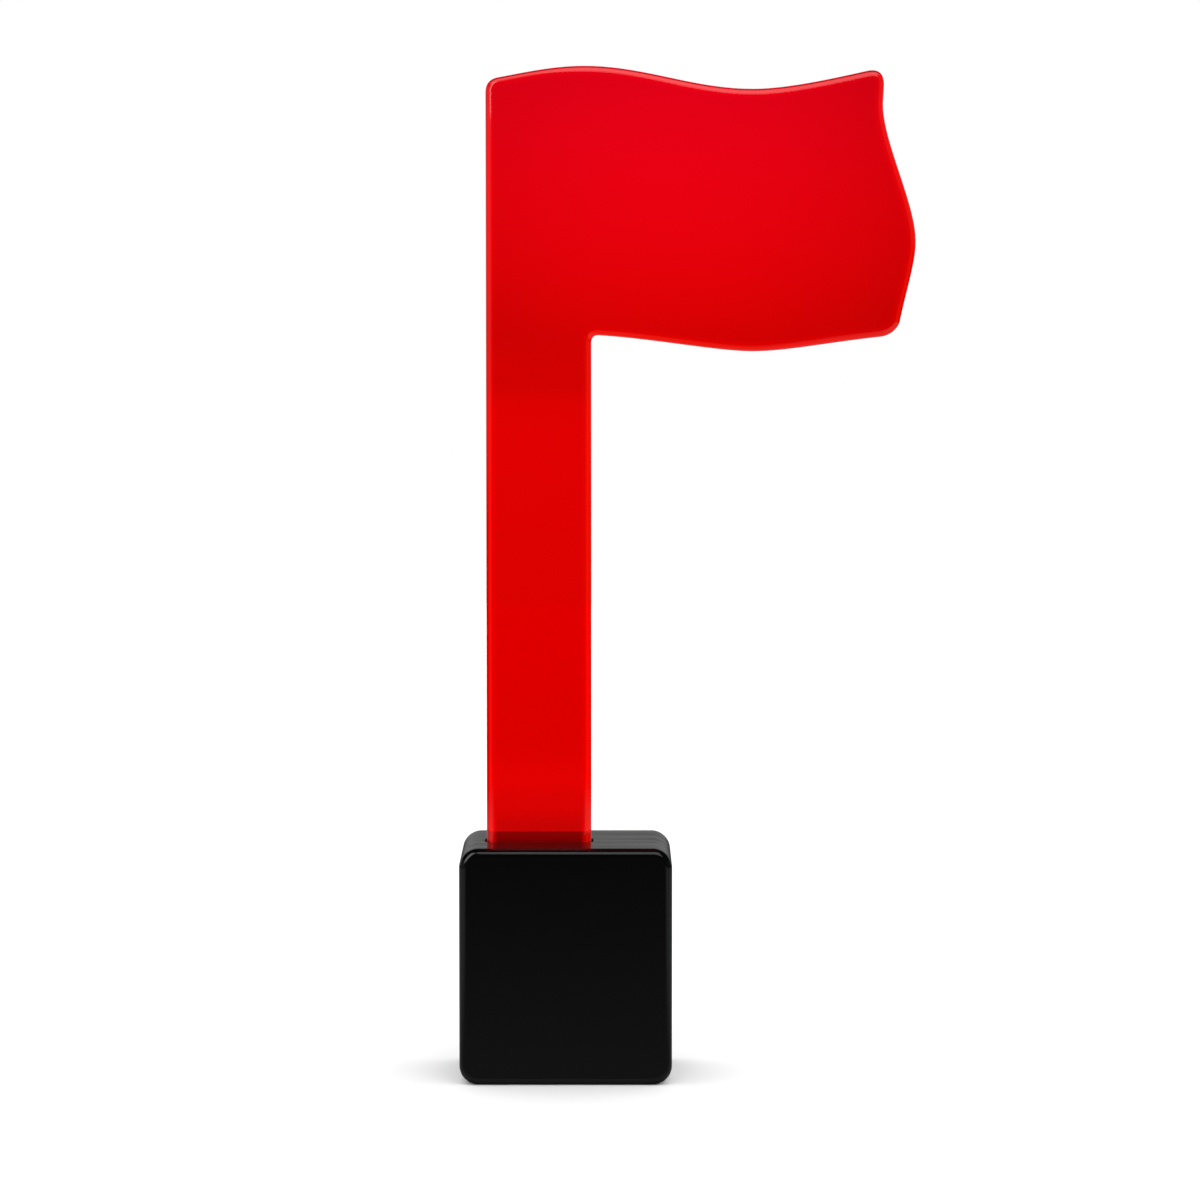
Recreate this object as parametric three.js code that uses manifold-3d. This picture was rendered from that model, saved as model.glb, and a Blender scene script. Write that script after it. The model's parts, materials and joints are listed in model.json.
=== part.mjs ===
// Desk status light in the shape of a small flag: an edge-lit sheet that plugs into a slotted box.
// Millimetres, +Z up, the front faces -Y. The origin is the middle of the box's underside.
import * as THREE from "three";
import { mergeVertices } from "three/addons/utils/BufferGeometryUtils.js";
import Module from "manifold-3d";

// The box
const BASE_WIDTH = 22;
const BASE_DEPTH = 16;
const BASE_HEIGHT = 24.6;
const WALL = 1.5;
const FLOOR = 2;
const CORNER_RADIUS = 2;
const RIM_ROUND = 0.75;
const COVER_THICKNESS = 1;
const SEAM_GAP = 0.1;
const LIP_DEPTH = 1.5;
const LIP_WALL = 0.8;
const LIP_CLEARANCE = 0.1;
const CATCH_WIDTH = 3;
const CATCH_RISE = 0.4;
const CATCH_DEPTH = 0.6;
const CATCH_SPACING = 10;

// The sheet: foot, pole and flag in one piece
const SHEET_THICKNESS = 3;
const SHEET_ROUND = 0.75;
const SHEET_Y = -0.7;
const POLE_WIDTH = 10.9;
const POLE_REACH = 52.7;
const FLAG_LENGTH = 44.4;
const FLAG_HEIGHT = 27.7;
const TOP_DIP = 2.35;
const BOTTOM_SAG = 1.65;
const FLY_SWAY = 3.45;
const FLAG_CORNER = 1.3;
const INNER_FILLET = 0.75;
// Where the waves turn, and how far their curves ease in and out, as shares of the flag
const CREST_AT = 0.23;
const DIP_AT = 0.62;
const BELLY_AT = 0.35;
const LONG_EASE = 0.14;
const SHORT_EASE = 0.08;

// What holds the foot
const SLOT_END_CLEARANCE = 0.2;
const SLOT_SIDE_CLEARANCE = 0.2;
const SOCKET_END_WALL = 0.8;
const SOCKET_SIDE_WALL = 1.6;
const SOCKET_CORNER = 0.4;
const SEAT_GAP = 0.05;
const SOCKET_GAP = 0.1;
const SOCKET_TO_WALL = 0.25;
const GRIP_LENGTH = 8;
const GRIP_HEIGHT = 4;
const GRIP_THICKNESS = 0.9;
const GRIP_DROP = 1.5;
const GRIP_CLEARANCE = 0.05;

// The circuit board and what is on it
const BOARD_RISE = 6.95;
const BOARD_THICKNESS = 1;
const BOARD_CLEARANCE = 0.3;
const BOARD_CORNER = 0.6;
const NOTCH_RADIUS = 0.7;
const NOTCH_Y = -2.4;
const EDGE_CHIP_INSET = 1.2;
const EDGE_CHIP_PITCH = 2.6;
const LEDGE_WIDTH = 1.2;
const LEDGE_HEIGHT = 0.9;
const SOLDER_GAP = 0.05;
const CHIP_CORNER = 0.15;
const CHIP_BEVEL = 0.1;
const LED_SIZE = { x: 1.6, y: 1.3, z: 0.7 };
const LED_PITCH = 3.4;
const LED_ROW_GAP = 0.3;
const LED_TO_FOOT = 0.5;
const LED_CLEARANCE = 0.2;
const LED_WINDOW_RADIUS = 0.45;
const LED_WINDOW_DEPTH = 0.2;

// The power inlet
const USB_WIDTH = 7.5;
const USB_HEIGHT = 2.8;
const USB_LENGTH = 5.2;
const USB_CHAMFER = 0.9;
const USB_SHEET = 0.3;
const USB_RECESS = 0.1;
const USB_CLEARANCE = 0.25;
const USB_FIT = 0.1;
const USB_BLOCK_LENGTH = 1.3;
const USB_TONGUE = { x: 3.6, y: 4.4, z: 0.6 };
const USB_TONGUE_RISE = 0.2;

// Screws, their posts, and the magnets
const SCREW_RADIUS = 0.8;
const SCREW_LENGTH = 6;
const SCREW_TIP = 0.8;
const SCREW_HEAD_RADIUS = 1.35;
const SCREW_HEAD_HEIGHT = 0.7;
const SCREW_RECESS_DEPTH = 0.8;
const SCREW_CLEARANCE = 0.15;
const THREAD_CLEARANCE = 0.05;
const SCREW_CROSS = { length: 1.6, width: 0.35, depth: 0.35 };
const POST_RADIUS = 1.7;
const POST_INSET_X = 3.6;
const POST_INSET_Z = 4.4;
const POST_GAP = 0.2;
const PILOT_EXTRA = 1;
const MAGNET_RADIUS = 2.5;
const MAGNET_THICKNESS = 1.5;
const MAGNET_SPACING = 6;
const MAGNET_FLOOR = 0.9;
const MAGNET_CLEARANCE = 0.1;

// Facets of a round rod, steps of an arc, and how far a cutter reaches past what it cuts
const FINE = 32;
const ARC_STEPS = 8;
const SMALL_ARC_STEPS = 2;
const PAST = 1;

// Places that follow from the sizes above
const frontY = -BASE_DEPTH / 2;
const rearY = BASE_DEPTH / 2;
const rearInnerY = rearY - WALL;
const seamY = frontY + COVER_THICKNESS;
const lipEndY = seamY + LIP_DEPTH;
const innerX = BASE_WIDTH / 2 - WALL;
const innerTopZ = BASE_HEIGHT - WALL;
const boardUnderZ = FLOOR + BOARD_RISE;
const boardTopZ = boardUnderZ + BOARD_THICKNESS;
const footZ = boardTopZ + SOLDER_GAP + LED_SIZE.z + LED_TO_FOOT;
const boardFrontY = lipEndY + BOARD_CLEARANCE;
const boardRearY = rearInnerY - BOARD_CLEARANCE;
const boardHalfX = innerX - BOARD_CLEARANCE;
const poleX = SOCKET_TO_WALL + SOCKET_END_WALL + SLOT_END_CLEARANCE + POLE_WIDTH / 2 - innerX;
const usbZ = boardUnderZ - SOLDER_GAP - USB_HEIGHT / 2;
const usbMouthY = rearY - USB_RECESS;
const posts = [-1, 1].map((side) => (
  { x: side * (BASE_WIDTH / 2 - POST_INSET_X), z: POST_INSET_Z }
));

const wasm = await Module();
wasm.setup();

function solid(geometry) {
  const bare = geometry.clone().deleteAttribute("normal").deleteAttribute("uv");
  const merged = mergeVertices(bare, 1e-4);
  const mesh = new wasm.Mesh({
    numProp: 3,
    vertProperties: merged.attributes.position.array,
    triVerts: new Uint32Array(merged.index.array),
  });
  return new wasm.Manifold(mesh);
}

function geometryOf(body) {
  const { vertProperties, triVerts } = body.getMesh();
  const geometry = new THREE.BufferGeometry();
  geometry.setAttribute("position", new THREE.BufferAttribute(vertProperties, 3));
  geometry.setIndex(new THREE.BufferAttribute(triVerts, 1));
  geometry.computeVertexNormals();
  return geometry;
}

// A box between two corners, each given as [x, y, z].
function block([x0, y0, z0], [x1, y1, z1]) {
  const box = new THREE.BoxGeometry(x1 - x0, y1 - y0, z1 - z0);
  box.translate((x0 + x1) / 2, (y0 + y1) / 2, (z0 + z1) / 2);
  return solid(box);
}

// A rod along Y between y0 and y1.
function rodY(x, z, radius, y0, y1) {
  const rod = new THREE.CylinderGeometry(radius, radius, y1 - y0, FINE);
  return solid(rod.translate(x, (y0 + y1) / 2, z));
}

// A disc standing on z0, centred on x and y.
function discZ(x, y, radius, z0, z1) {
  const disc = new THREE.CylinderGeometry(radius, radius, z1 - z0, FINE);
  disc.rotateX(Math.PI / 2);
  return solid(disc.translate(x, y, (z0 + z1) / 2));
}

function roundedRectangle(x0, z0, x1, z1, radius) {
  const shape = new THREE.Shape();
  shape.absarc(x1 - radius, z0 + radius, radius, -Math.PI / 2, 0);
  shape.absarc(x1 - radius, z1 - radius, radius, 0, Math.PI / 2);
  shape.absarc(x0 + radius, z1 - radius, radius, Math.PI / 2, Math.PI);
  shape.absarc(x0 + radius, z0 + radius, radius, Math.PI, 1.5 * Math.PI);
  shape.closePath();
  return shape;
}

// A shape drawn in X and Z, made solid from y0 to y1, with its edges rounded by `round`.
function uprightPrism(shape, y0, y1, round = 0, steps = 4) {
  const geometry = new THREE.ExtrudeGeometry(shape, {
    depth: y1 - y0 - 2 * round,
    curveSegments: ARC_STEPS,
    bevelEnabled: round > 0,
    bevelThickness: round,
    bevelSize: round,
    bevelOffset: -round,
    bevelSegments: steps,
  });
  geometry.rotateX(Math.PI / 2);
  return solid(geometry.translate(0, y1 - round, 0));
}

// A shape drawn in X and Y, made solid from z0 to z1, with its edges bevelled by `bevel`.
function flatPrism(shape, z0, z1, bevel = 0) {
  const geometry = new THREE.ExtrudeGeometry(shape, {
    depth: z1 - z0 - 2 * bevel,
    curveSegments: SMALL_ARC_STEPS,
    bevelEnabled: bevel > 0,
    bevelThickness: bevel,
    bevelSize: bevel,
    bevelOffset: -bevel,
    bevelSegments: 1,
  });
  return solid(geometry.translate(0, 0, z0 + bevel));
}

function outerBlock() {
  const outline = roundedRectangle(
    -BASE_WIDTH / 2, 0, BASE_WIDTH / 2, BASE_HEIGHT, CORNER_RADIUS,
  );
  return uprightPrism(outline, frontY, rearY, RIM_ROUND);
}

// The hollow of the case, drawn in by `inset` on every side.
function cavityOutline(inset) {
  const radius = Math.max(CORNER_RADIUS - WALL - inset, 0.2);
  return roundedRectangle(
    inset - innerX, FLOOR + inset, innerX - inset, innerTopZ - inset, radius,
  );
}

// Everything between two Y planes.
function slab(y0, y1) {
  const reach = BASE_WIDTH + BASE_HEIGHT;
  return block([-reach, y0, -reach], [reach, y1, reach]);
}

function rectangleAround(x, y, width, depth, radius) {
  return roundedRectangle(x - width / 2, y - depth / 2, x + width / 2, y + depth / 2, radius);
}

// The room for the sheet in the case's top wall and in the socket.
function slotCut(z0, z1) {
  const width = POLE_WIDTH + 2 * SLOT_END_CLEARANCE;
  const depth = SHEET_THICKNESS + 2 * SLOT_SIDE_CLEARANCE;
  const outline = rectangleAround(poleX, SHEET_Y, width, depth, SHEET_ROUND);
  return flatPrism(outline, z0, z1);
}

function usbOutline(inset) {
  const half = USB_WIDTH / 2 - inset;
  const top = usbZ + USB_HEIGHT / 2 - inset;
  const bottom = usbZ - USB_HEIGHT / 2 + inset;
  const chamfer = USB_CHAMFER - inset * (2 - Math.SQRT2);
  const shape = new THREE.Shape();
  shape.moveTo(chamfer - half, bottom);
  shape.lineTo(half - chamfer, bottom);
  shape.lineTo(half, bottom + chamfer);
  shape.lineTo(half, top);
  shape.lineTo(-half, top);
  shape.lineTo(-half, bottom + chamfer);
  shape.closePath();
  return shape;
}

// Two catches on top of the cover's lip, or their pockets, which are larger by `clearance`.
function catchBlock(side, clearance) {
  const x = side * CATCH_SPACING / 2;
  const half = CATCH_WIDTH / 2 + clearance;
  const y1 = lipEndY - LIP_CLEARANCE;
  return block(
    [x - half, y1 - CATCH_DEPTH - clearance, innerTopZ - LIP_CLEARANCE - LIP_WALL / 2],
    [x + half, y1 + clearance, innerTopZ + CATCH_RISE + clearance],
  );
}

function rearCase() {
  let body = outerBlock().intersect(slab(seamY + SEAM_GAP / 2, rearY + PAST));
  body = body.subtract(uprightPrism(cavityOutline(0), frontY - PAST, rearInnerY));
  body = body.subtract(slotCut(innerTopZ - PAST, BASE_HEIGHT + PAST));
  body = body.subtract(uprightPrism(usbOutline(-USB_CLEARANCE), rearInnerY - PAST, rearY + PAST));
  for (const { x, z } of posts) {
    const recessY = rearY - SCREW_RECESS_DEPTH;
    body = body.subtract(rodY(x, z, SCREW_RADIUS + SCREW_CLEARANCE, rearInnerY - PAST, rearY));
    body = body.subtract(rodY(x, z, SCREW_HEAD_RADIUS + SCREW_CLEARANCE, recessY, rearY + PAST));
  }
  for (const side of [-1, 1]) {
    body = body.subtract(catchBlock(side, LIP_CLEARANCE));
    const pocket = MAGNET_RADIUS + MAGNET_CLEARANCE;
    body = body.subtract(discZ(side * MAGNET_SPACING / 2, 0, pocket, MAGNET_FLOOR, FLOOR + PAST));
    const middle = side * (innerX - LEDGE_WIDTH / 2);
    const top = boardUnderZ - SOLDER_GAP;
    body = body.add(block(
      [middle - LEDGE_WIDTH / 2, boardFrontY, top - LEDGE_HEIGHT],
      [middle + LEDGE_WIDTH / 2, rearInnerY, top],
    ));
  }
  return body;
}

function frontCover() {
  let body = outerBlock().intersect(slab(frontY - PAST, seamY - SEAM_GAP / 2));
  const plateY = seamY - SEAM_GAP;
  const lip = uprightPrism(cavityOutline(LIP_CLEARANCE), plateY, lipEndY);
  const hollow = uprightPrism(cavityOutline(LIP_CLEARANCE + LIP_WALL), plateY - PAST, lipEndY + PAST);
  body = body.add(lip.subtract(hollow.intersect(slab(plateY, lipEndY + PAST))));
  for (const side of [-1, 1]) {
    body = body.add(catchBlock(side, 0));
  }
  const postEndY = rearInnerY - POST_GAP;
  const pilotY = rearY - SCREW_RECESS_DEPTH - SCREW_LENGTH - PILOT_EXTRA;
  for (const { x, z } of posts) {
    body = body.add(rodY(x, z, POST_RADIUS, plateY, postEndY));
    body = body.subtract(rodY(x, z, SCREW_RADIUS + THREAD_CLEARANCE, pilotY, postEndY + PAST));
  }
  return body;
}

// Foot, pole and flag. The outline runs counter-clockwise from the foot's free corner.
function sheetOutline() {
  const hoist = poleX - POLE_WIDTH / 2;
  const inner = poleX + POLE_WIDTH / 2;
  const low = BASE_HEIGHT + POLE_REACH;
  const top = low + FLAG_HEIGHT;
  const far = hoist + FLAG_LENGTH;
  const waist = far - FLY_SWAY;
  const crestX = hoist + CREST_AT * FLAG_LENGTH;
  const dipX = hoist + DIP_AT * FLAG_LENGTH;
  const bellyZ = low + BELLY_AT * FLAG_HEIGHT;
  const long = LONG_EASE * FLAG_LENGTH;
  const short = SHORT_EASE * FLAG_LENGTH;
  const r = FLAG_CORNER;
  // the points where the curves meet, as [x, z]
  const lowerCorner = [waist, low - 0.1 * r];
  const flyFoot = [waist + 1.4 * r, low + r];
  const flyHead = [waist + 0.1, top - 1.5 * r];
  const upperCorner = [waist - 1.3 * r, top - 0.4 * r];
  const hoistHead = [hoist + r, top - TOP_DIP / 2];
  const hoistShoulder = [hoist, top - 0.6 * TOP_DIP - r];

  const outline = new THREE.Shape();
  outline.moveTo(hoist, footZ - SHEET_ROUND);
  outline.lineTo(inner, footZ - SHEET_ROUND);
  outline.lineTo(inner, low - INNER_FILLET);
  outline.quadraticCurveTo(inner, low, inner + INNER_FILLET, low);
  // lower edge: down to the sag and up to the fly's corner
  outline.bezierCurveTo(
    inner + long, low - 0.2 * BOTTOM_SAG,
    dipX - short, low - BOTTOM_SAG,
    dipX, low - BOTTOM_SAG,
  );
  outline.bezierCurveTo(
    dipX + short, low - BOTTOM_SAG,
    waist - long, low - BOTTOM_SAG / 2,
    ...lowerCorner,
  );
  outline.quadraticCurveTo(waist + r, low + 0.1 * r, ...flyFoot);
  // fly: out to the belly and back to the waist
  outline.bezierCurveTo(
    far - 0.7 * r, low + BELLY_AT / 2 * FLAG_HEIGHT,
    far, bellyZ - SHORT_EASE * FLAG_HEIGHT,
    far, bellyZ,
  );
  outline.bezierCurveTo(
    far, bellyZ + LONG_EASE * FLAG_HEIGHT,
    waist, top - 3 * r - LONG_EASE * FLAG_HEIGHT,
    waist, top - 3 * r,
  );
  outline.lineTo(...flyHead);
  outline.quadraticCurveTo(waist + 0.1, top - 0.1 * r, ...upperCorner);
  // upper edge: down to the dip, up to the crest, down to the hoist
  outline.bezierCurveTo(
    upperCorner[0] - short, upperCorner[1] - TOP_DIP / 3,
    dipX + short, top - TOP_DIP,
    dipX, top - TOP_DIP,
  );
  outline.bezierCurveTo(dipX - long, top - TOP_DIP, crestX + long, top, crestX, top);
  outline.bezierCurveTo(
    crestX - long / 2, top,
    hoistHead[0] + long / 2, top - TOP_DIP / 4,
    ...hoistHead,
  );
  outline.quadraticCurveTo(hoist, top - 0.6 * TOP_DIP, ...hoistShoulder);
  outline.closePath();
  return outline;
}

// The rims are rounded, the foot's end face is left flat for the light to enter.
function flagSheet() {
  const front = SHEET_Y - SHEET_THICKNESS / 2;
  const sheet = uprightPrism(sheetOutline(), front, front + SHEET_THICKNESS, SHEET_ROUND, 3);
  const below = block([-BASE_WIDTH, -BASE_DEPTH, -PAST], [BASE_WIDTH, BASE_DEPTH, footZ]);
  return sheet.subtract(below);
}

// A soft strip beside the sheet, or its pocket where it is larger by `clearance` all round.
// side is -1 in front of the sheet and 1 behind it.
function gripStrip(side, clearance) {
  const middle = SHEET_THICKNESS / 2 + GRIP_CLEARANCE + GRIP_THICKNESS / 2;
  const outline = rectangleAround(
    poleX, SHEET_Y + side * middle, GRIP_LENGTH + 2 * clearance, GRIP_THICKNESS + 2 * clearance, 0.1,
  );
  const top = innerTopZ - SOCKET_GAP - GRIP_DROP;
  return flatPrism(outline, top - GRIP_HEIGHT - clearance, top + clearance);
}

// The foot rests on a narrow seat at each end, and the light comes up between the seats.
function flagSocket() {
  const width = POLE_WIDTH + 2 * (SLOT_END_CLEARANCE + SOCKET_END_WALL);
  const depth = SHEET_THICKNESS + 2 * (SLOT_SIDE_CLEARANCE + SOCKET_SIDE_WALL);
  const z0 = boardTopZ + SOCKET_GAP;
  const z1 = innerTopZ - SOCKET_GAP;
  const seatZ = footZ - SEAT_GAP;
  const lightWidth = 2 * LED_PITCH + LED_SIZE.x + 2 * LED_CLEARANCE;
  const lightDepth = 2 * LED_SIZE.y + LED_ROW_GAP + 2 * LED_CLEARANCE;
  const light = rectangleAround(poleX, SHEET_Y, lightWidth, lightDepth, LED_CLEARANCE);
  let body = flatPrism(rectangleAround(poleX, SHEET_Y, width, depth, SOCKET_CORNER), z0, z1);
  body = body.subtract(slotCut(seatZ, z1 + PAST));
  body = body.subtract(flatPrism(light, z0 - PAST, seatZ + PAST));
  for (const side of [-1, 1]) {
    body = body.subtract(gripStrip(side, GRIP_CLEARANCE));
  }
  return body;
}

function circuitBoard() {
  const outline = roundedRectangle(-boardHalfX, boardFrontY, boardHalfX, boardRearY, BOARD_CORNER);
  let body = flatPrism(outline, boardUnderZ, boardTopZ);
  for (const side of [-1, 1]) {
    const notch = discZ(side * boardHalfX, NOTCH_Y, NOTCH_RADIUS, boardUnderZ - PAST, boardTopZ + PAST);
    body = body.subtract(notch);
  }
  return body;
}

// A light-emitting diode on the board's upper face, with a round window sunk in its top.
function led(x, y) {
  const { x: w, y: d, z: h } = LED_SIZE;
  const z0 = boardTopZ + SOLDER_GAP;
  const window = discZ(x, y, LED_WINDOW_RADIUS, z0 + h - LED_WINDOW_DEPTH, z0 + h + PAST);
  return flatPrism(rectangleAround(x, y, w, d, CHIP_CORNER), z0, z0 + h).subtract(window);
}

// A moulded or ceramic component; under is true for the board's lower face.
function component(x, y, [w, d, h], under) {
  const z0 = under ? boardUnderZ - SOLDER_GAP - h : boardTopZ + SOLDER_GAP;
  return flatPrism(rectangleAround(x, y, w, d, CHIP_CORNER), z0, z0 + h, CHIP_BEVEL);
}

function usbShell() {
  const y0 = usbMouthY - USB_LENGTH;
  const outer = uprightPrism(usbOutline(0), y0, usbMouthY);
  return outer.subtract(uprightPrism(usbOutline(USB_SHEET), y0 - PAST, usbMouthY + PAST));
}

function usbTongue() {
  const y0 = usbMouthY - USB_LENGTH;
  const { x, y, z } = USB_TONGUE;
  const base = uprightPrism(usbOutline(USB_SHEET + USB_FIT), y0, y0 + USB_BLOCK_LENGTH);
  const low = usbZ + USB_TONGUE_RISE - z / 2;
  return base.add(block([-x / 2, y0 + USB_BLOCK_LENGTH / 2, low], [x / 2, y0 + y, low + z]));
}

// A pan-head screw along Y, driven in from the rear.
function coverScrew({ x, z }) {
  const headY = SCREW_HEAD_HEIGHT;
  const profile = [
    [0, -SCREW_LENGTH],
    [SCREW_RADIUS * 0.4, -SCREW_LENGTH],
    [SCREW_RADIUS, SCREW_TIP - SCREW_LENGTH],
    [SCREW_RADIUS, 0],
    [SCREW_HEAD_RADIUS, 0],
    [SCREW_HEAD_RADIUS, headY * 0.6],
    [SCREW_HEAD_RADIUS * 0.75, headY],
    [0, headY],
  ].map(([radius, y]) => new THREE.Vector2(radius, y));
  const seatY = rearY - SCREW_RECESS_DEPTH + THREAD_CLEARANCE;
  let body = solid(new THREE.LatheGeometry(profile, FINE).translate(x, seatY, z));
  const { length, width, depth } = SCREW_CROSS;
  const y0 = seatY + headY - depth;
  const y1 = seatY + headY + PAST;
  for (const [halfX, halfZ] of [[length / 2, width / 2], [width / 2, length / 2]]) {
    body = body.subtract(block([x - halfX, y0, z - halfZ], [x + halfX, y1, z + halfZ]));
  }
  return body;
}

function magnet(side) {
  const z0 = MAGNET_FLOOR + MAGNET_CLEARANCE;
  return discZ(side * MAGNET_SPACING / 2, 0, MAGNET_RADIUS, z0, z0 + MAGNET_THICKNESS);
}

function material(color, roughness, metalness = 0) {
  return new THREE.MeshStandardMaterial({ color, roughness, metalness });
}

const litRed = material(0xd80008, 0.12);
const glossBlack = material(0x0d0d0e, 0.3);
const satinBlack = material(0x202022, 0.5);
const white = material(0xf2f2ee, 0.55);
const rubber = material(0x3a3a3c, 0.85);
const boardGreen = material(0x0f4a26, 0.45);
const chipBlack = material(0x161617, 0.6);
const ceramic = material(0xb89a6a, 0.5);
const steel = material(0xc4c6c8, 0.3, 1);
const nickel = material(0xb8b9bb, 0.2, 1);

function addTo(group, name, body, finish) {
  const mesh = new THREE.Mesh(geometryOf(body), finish);
  mesh.name = name;
  group.add(mesh);
}

function housing() {
  const group = new THREE.Group();
  addTo(group, "rear_case", rearCase(), satinBlack);
  addTo(group, "front_cover", frontCover(), glossBlack);
  posts.forEach((post, i) => addTo(group, `cover_screw_${i + 1}`, coverScrew(post), steel));
  [-1, 1].forEach((side, i) => addTo(group, `magnet_${i + 1}`, magnet(side), nickel));
  return group;
}

function holder() {
  const group = new THREE.Group();
  addTo(group, "flag_socket", flagSocket(), white);
  addTo(group, "grip_front", gripStrip(-1, 0), rubber);
  addTo(group, "grip_rear", gripStrip(1, 0), rubber);
  return group;
}

// Name, place, size, whether it hangs under the board, and finish. Under the board the parts share
// the free area in front of the inlet, and above it three small ones line its free edge.
function componentPlan() {
  const reach = innerX - LEDGE_WIDTH - BOARD_CLEARANCE;
  const middleY = (boardFrontY + usbMouthY - USB_LENGTH) / 2;
  const edgeX = boardHalfX - EDGE_CHIP_INSET;
  const edgeY = (boardFrontY + boardRearY) / 2;
  return [
    ["microcontroller", 0, middleY, [4, 4, 0.9], true, chipBlack],
    ["voltage_regulator", 1.45 - reach, middleY + 1.2, [2.9, 1.6, 1.1], true, chipBlack],
    ["crystal", 1.25 - reach, middleY - 1.4, [2.5, 2, 0.7], true, steel],
    ["capacitor_1", reach - 1.6, middleY + 1.2, [3.2, 1.6, 1.6], true, ceramic],
    ["capacitor_2", reach - 1, middleY - 1.2, [2, 1.25, 1.2], true, ceramic],
    ["capacitor_3", edgeX, edgeY, [1.25, 2, 1.2], false, ceramic],
    ["resistor_1", edgeX, edgeY - EDGE_CHIP_PITCH, [0.8, 1.6, 0.5], false, chipBlack],
    ["resistor_2", edgeX, edgeY + EDGE_CHIP_PITCH, [0.8, 1.6, 0.5], false, chipBlack],
  ];
}

function electronics() {
  const group = new THREE.Group();
  addTo(group, "circuit_board", circuitBoard(), boardGreen);
  const rowY = (LED_SIZE.y + LED_ROW_GAP) / 2;
  let count = 0;
  for (const y of [-rowY, rowY]) {
    for (const step of [-1, 0, 1]) {
      count += 1;
      addTo(group, `led_${count}`, led(poleX + step * LED_PITCH, SHEET_Y + y), white);
    }
  }
  for (const [name, x, y, size, under, finish] of componentPlan()) {
    addTo(group, name, component(x, y, size, under), finish);
  }
  addTo(group, "usb_shell", usbShell(), nickel);
  addTo(group, "usb_tongue", usbTongue(), chipBlack);
  return group;
}

function flagGroup() {
  const group = new THREE.Group();
  addTo(group, "flag", flagSheet(), litRed);
  return group;
}

const statusLight = new THREE.Group();
statusLight.add(housing(), holder(), electronics(), flagGroup());

export default statusLight;
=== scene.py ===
# %% [markdown]
# # A small lit flag in a black box
#
# The object is a desk status light. A flag and its pole are cut from one sheet of clear red
# plastic, and the foot of the sheet stands in a slot in a small black box. Lights in the box
# shine into the foot, and the sheet carries the light up to its rims.
#
# Everything here is in metres. The model that this scene dresses is already at its true size and
# place, so each new piece takes its place from the node that it stands for.

# %% Open the frame
import json
import math

import bmesh
import bpy
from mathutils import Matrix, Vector

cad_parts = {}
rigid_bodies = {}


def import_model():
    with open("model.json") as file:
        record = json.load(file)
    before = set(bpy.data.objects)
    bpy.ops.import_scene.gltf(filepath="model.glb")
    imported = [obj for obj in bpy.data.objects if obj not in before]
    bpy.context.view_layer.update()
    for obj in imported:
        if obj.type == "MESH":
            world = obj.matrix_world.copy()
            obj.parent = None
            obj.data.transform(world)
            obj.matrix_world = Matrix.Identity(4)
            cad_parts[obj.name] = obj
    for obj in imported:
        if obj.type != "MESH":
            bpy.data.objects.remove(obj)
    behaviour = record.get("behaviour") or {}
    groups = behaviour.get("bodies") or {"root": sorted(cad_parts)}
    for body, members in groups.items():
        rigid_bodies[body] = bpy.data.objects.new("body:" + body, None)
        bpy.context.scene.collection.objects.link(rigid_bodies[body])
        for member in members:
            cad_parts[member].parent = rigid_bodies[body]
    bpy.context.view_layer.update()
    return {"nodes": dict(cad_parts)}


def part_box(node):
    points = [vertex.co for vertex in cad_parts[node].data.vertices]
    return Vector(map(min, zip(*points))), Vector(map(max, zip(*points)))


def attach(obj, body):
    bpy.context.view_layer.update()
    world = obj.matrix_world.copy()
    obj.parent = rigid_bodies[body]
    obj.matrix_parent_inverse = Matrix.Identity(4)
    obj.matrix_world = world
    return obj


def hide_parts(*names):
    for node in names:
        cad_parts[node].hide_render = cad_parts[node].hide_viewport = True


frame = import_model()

MM = 0.001


def middle_and_size(node):
    """The middle of a node's box, and its size."""
    low_corner, high_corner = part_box(node)
    return (low_corner + high_corner) / 2, high_corner - low_corner


# %% [markdown]
# ## The view
#
# A long lens from about half a metre, a little above the flag's middle and tipped down by less
# than five degrees, is how a small product is usually shown. It keeps upright lines upright and
# still shows the top of the box.

# %% Camera
CAMERA_PLACE = Vector((3.55, -477.8, 88.5)) * MM
CAMERA_TIP = math.radians(4.64)
CAMERA_LENS = 138

camera_data = bpy.data.cameras.new("camera")
camera_data.lens = CAMERA_LENS
camera_data.sensor_width = 36
camera_data.clip_start = 0.01
camera = bpy.data.objects.new("camera", camera_data)
camera.location = CAMERA_PLACE
camera.rotation_euler = (math.pi / 2 - CAMERA_TIP, 0, 0)
bpy.context.scene.collection.objects.link(camera)
bpy.context.scene.camera = camera
print("camera is", round(CAMERA_PLACE.length, 3), "m from the origin")

# %% [markdown]
# ## Tools for the hands
#
# An operator works on whatever is selected, so each helper first lets go of everything and then
# takes hold of one piece. These few are enough for a moulded box: a block, a rod, rounded edges,
# and adding or cutting away one solid with another.


# %% Selecting, settling and copying a piece
def pick(*pieces):
    """Selects these pieces and nothing else. The first is the active one."""
    bpy.ops.object.select_all(action="DESELECT")
    for piece in pieces:
        piece.select_set(True)
    bpy.context.view_layer.objects.active = pieces[0]


def settle(name):
    """Names the new object and moves its place into its mesh."""
    piece = bpy.context.object
    piece.name = piece.data.name = name
    pick(piece)
    bpy.ops.object.transform_apply(location=True, rotation=True, scale=True)
    return piece


def discard(piece):
    bpy.data.objects.remove(piece)


def copy_to(piece, name, place, turn=(0, 0, 0)):
    """A copy with its own mesh, turned and moved to its place."""
    pick(piece)
    bpy.ops.object.duplicate(linked=False)
    bpy.context.object.location = place
    bpy.context.object.rotation_euler = turn
    return settle(name)


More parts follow.
